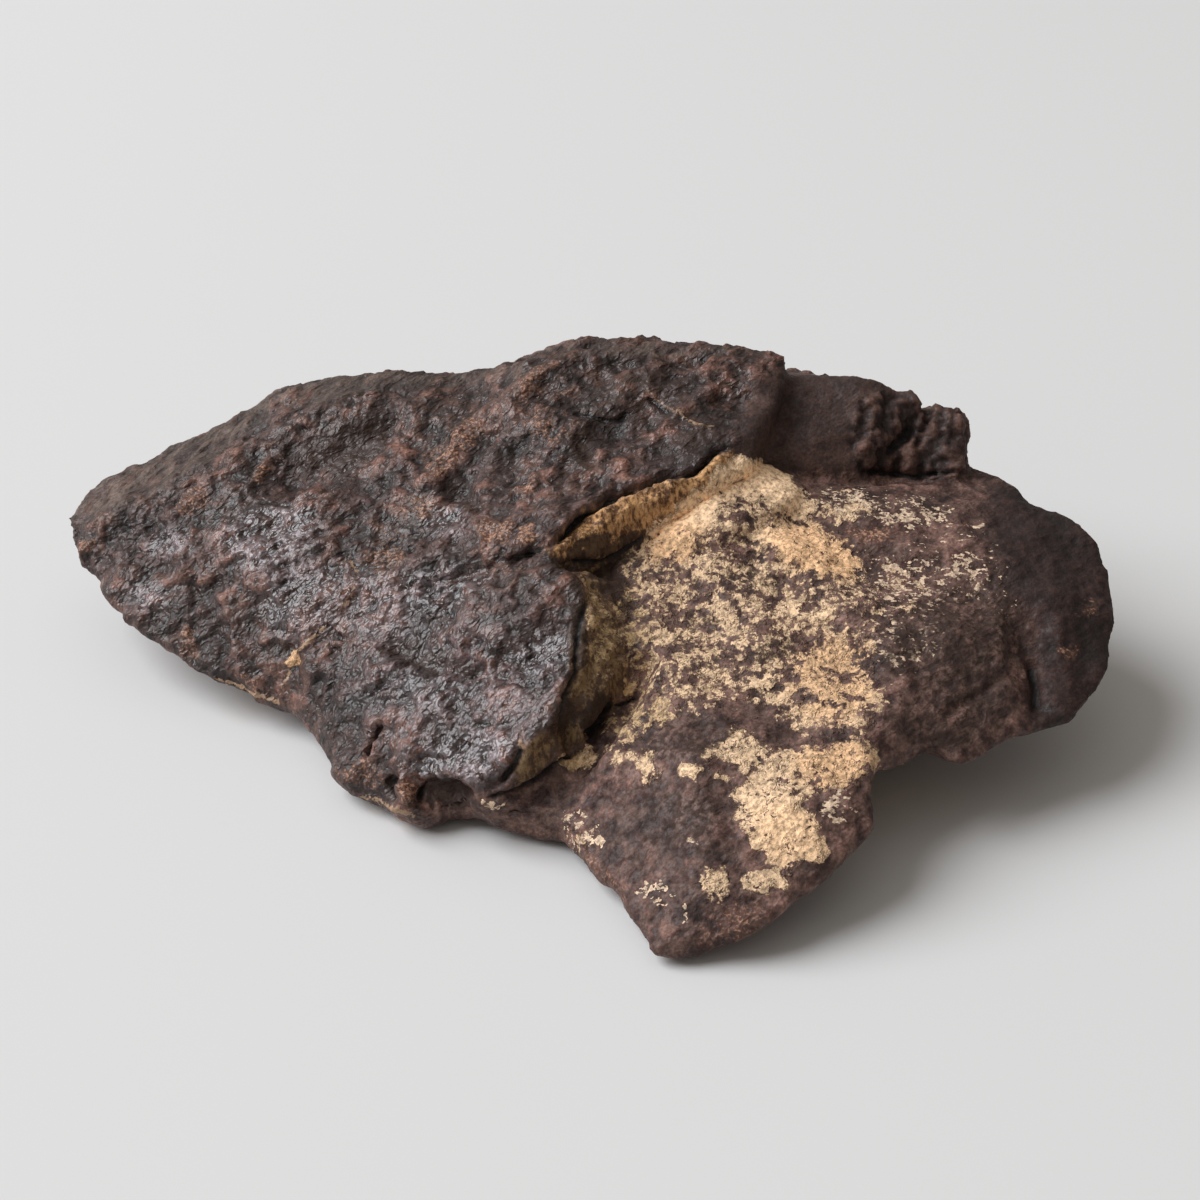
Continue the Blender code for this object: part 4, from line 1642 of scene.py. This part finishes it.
    def work_grain(self, skin: Skin) -> None:
        """Raise the hammered bumps, wrinkles and grain, each where it belongs.

        Args:
            skin: The stone's skin.
        """
        places, marks = skin.places.copy(), skin.marks
        plate = marks[Mark.PLATE]
        smooth = np.maximum(marks[Mark.BACK], marks[Mark.LOBE] * 0.8)
        wall = np.maximum(marks[Mark.WALL], marks[Mark.SLOPE])
        slab = np.clip(1.0 - plate - smooth, 0.0, 1.0)
        slab = slab * (1.0 - 0.75 * marks[Mark.DUST]) * (1.0 - 0.45 * marks[Mark.STAIN_AND_SHADE])
        warp = np.stack([clouds(places, 1.4, seed, 2) for seed in (31.0, 37.0, 41.0)], axis=1)
        bent = places + warp * self.bend
        drawn = self.drawn_out(bent, FOLD_TURN, FOLD_STRETCH)
        waves = self.drawn_out(bent, self.wave_turn, self.wave_stretch)
        force = 0.20 + 0.80 * soft_step(-0.30, 0.40, clouds(places, 3.4, 47.0, 2))
        upward = 0.35 + 0.65 * soft_step(0.10, 0.70, skin.normals[:, 2])
        up = self.relief
        broad = clouds(places, 4.2, 2.0, 3) * (up.swell + up.slab_swell * slab)
        broad += folds(waves, 4.6, 71.0) * up.slab_waves * slab
        rise = folds(drawn, 2.1, 17.0) * (up.slab_folds * slab + up.plate_folds * plate) * force
        rise += folds(drawn, 1.05, 11.0) * (up.slab_wrinkles * slab + up.plate_wrinkles * plate) * force
        rise += bumps(bent, 1.3, 13.0) * up.slab_bumps * slab
        rise += clouds(places, 0.9, 53.0, 3) * up.wall_lumps * wall
        rise += clouds(places, 0.55, 19.0, 2) * (up.slab_grit * slab + up.plate_grit * plate + up.grit)
        rise *= upward
        grooves = clouds(places * (1.0, 1.0, 0.25), 0.75, 43.0, 2) * up.end_grooves
        grooves += clouds(places, 0.45, 97.0, 2) * up.end_pits
        grooves *= marks[Mark.BROKEN_END]
        # this height gives the painted shade in hollows and the lighter raised spots
        marks[Mark.HEIGHT_SHADE] = soft_step(-0.20, 0.24, rise + broad * 0.5 + grooves)
        rise += broad + grooves + marks[Mark.CRUST] * up.crust
        base = soft_step(0.0, 0.5, places[:, 2])
        skin.places = places + skin.normals * (rise * (0.25 + 0.75 * base))[:, None]
        skin.places[:, 2] = np.maximum(skin.places[:, 2], 0.0)


def main() -> None:
    """Build the stone, the floor, the light and the camera."""
    logging.basicConfig(level=logging.INFO, format="%(name)s: %(message)s")
    view = PhotoView()
    stone = MeteoriteStone(view).build()
    LOG.info("piece %s: %d triangles", stone.name, count_triangles(stone.data))
    studio = SoftStudio()
    floor = studio.lay_floor()
    LOG.info("stage %s", floor.name)
    studio.hang_lights()
    studio.show_true_colours()
    view.place_camera()


if __name__ == "__main__":
    main()
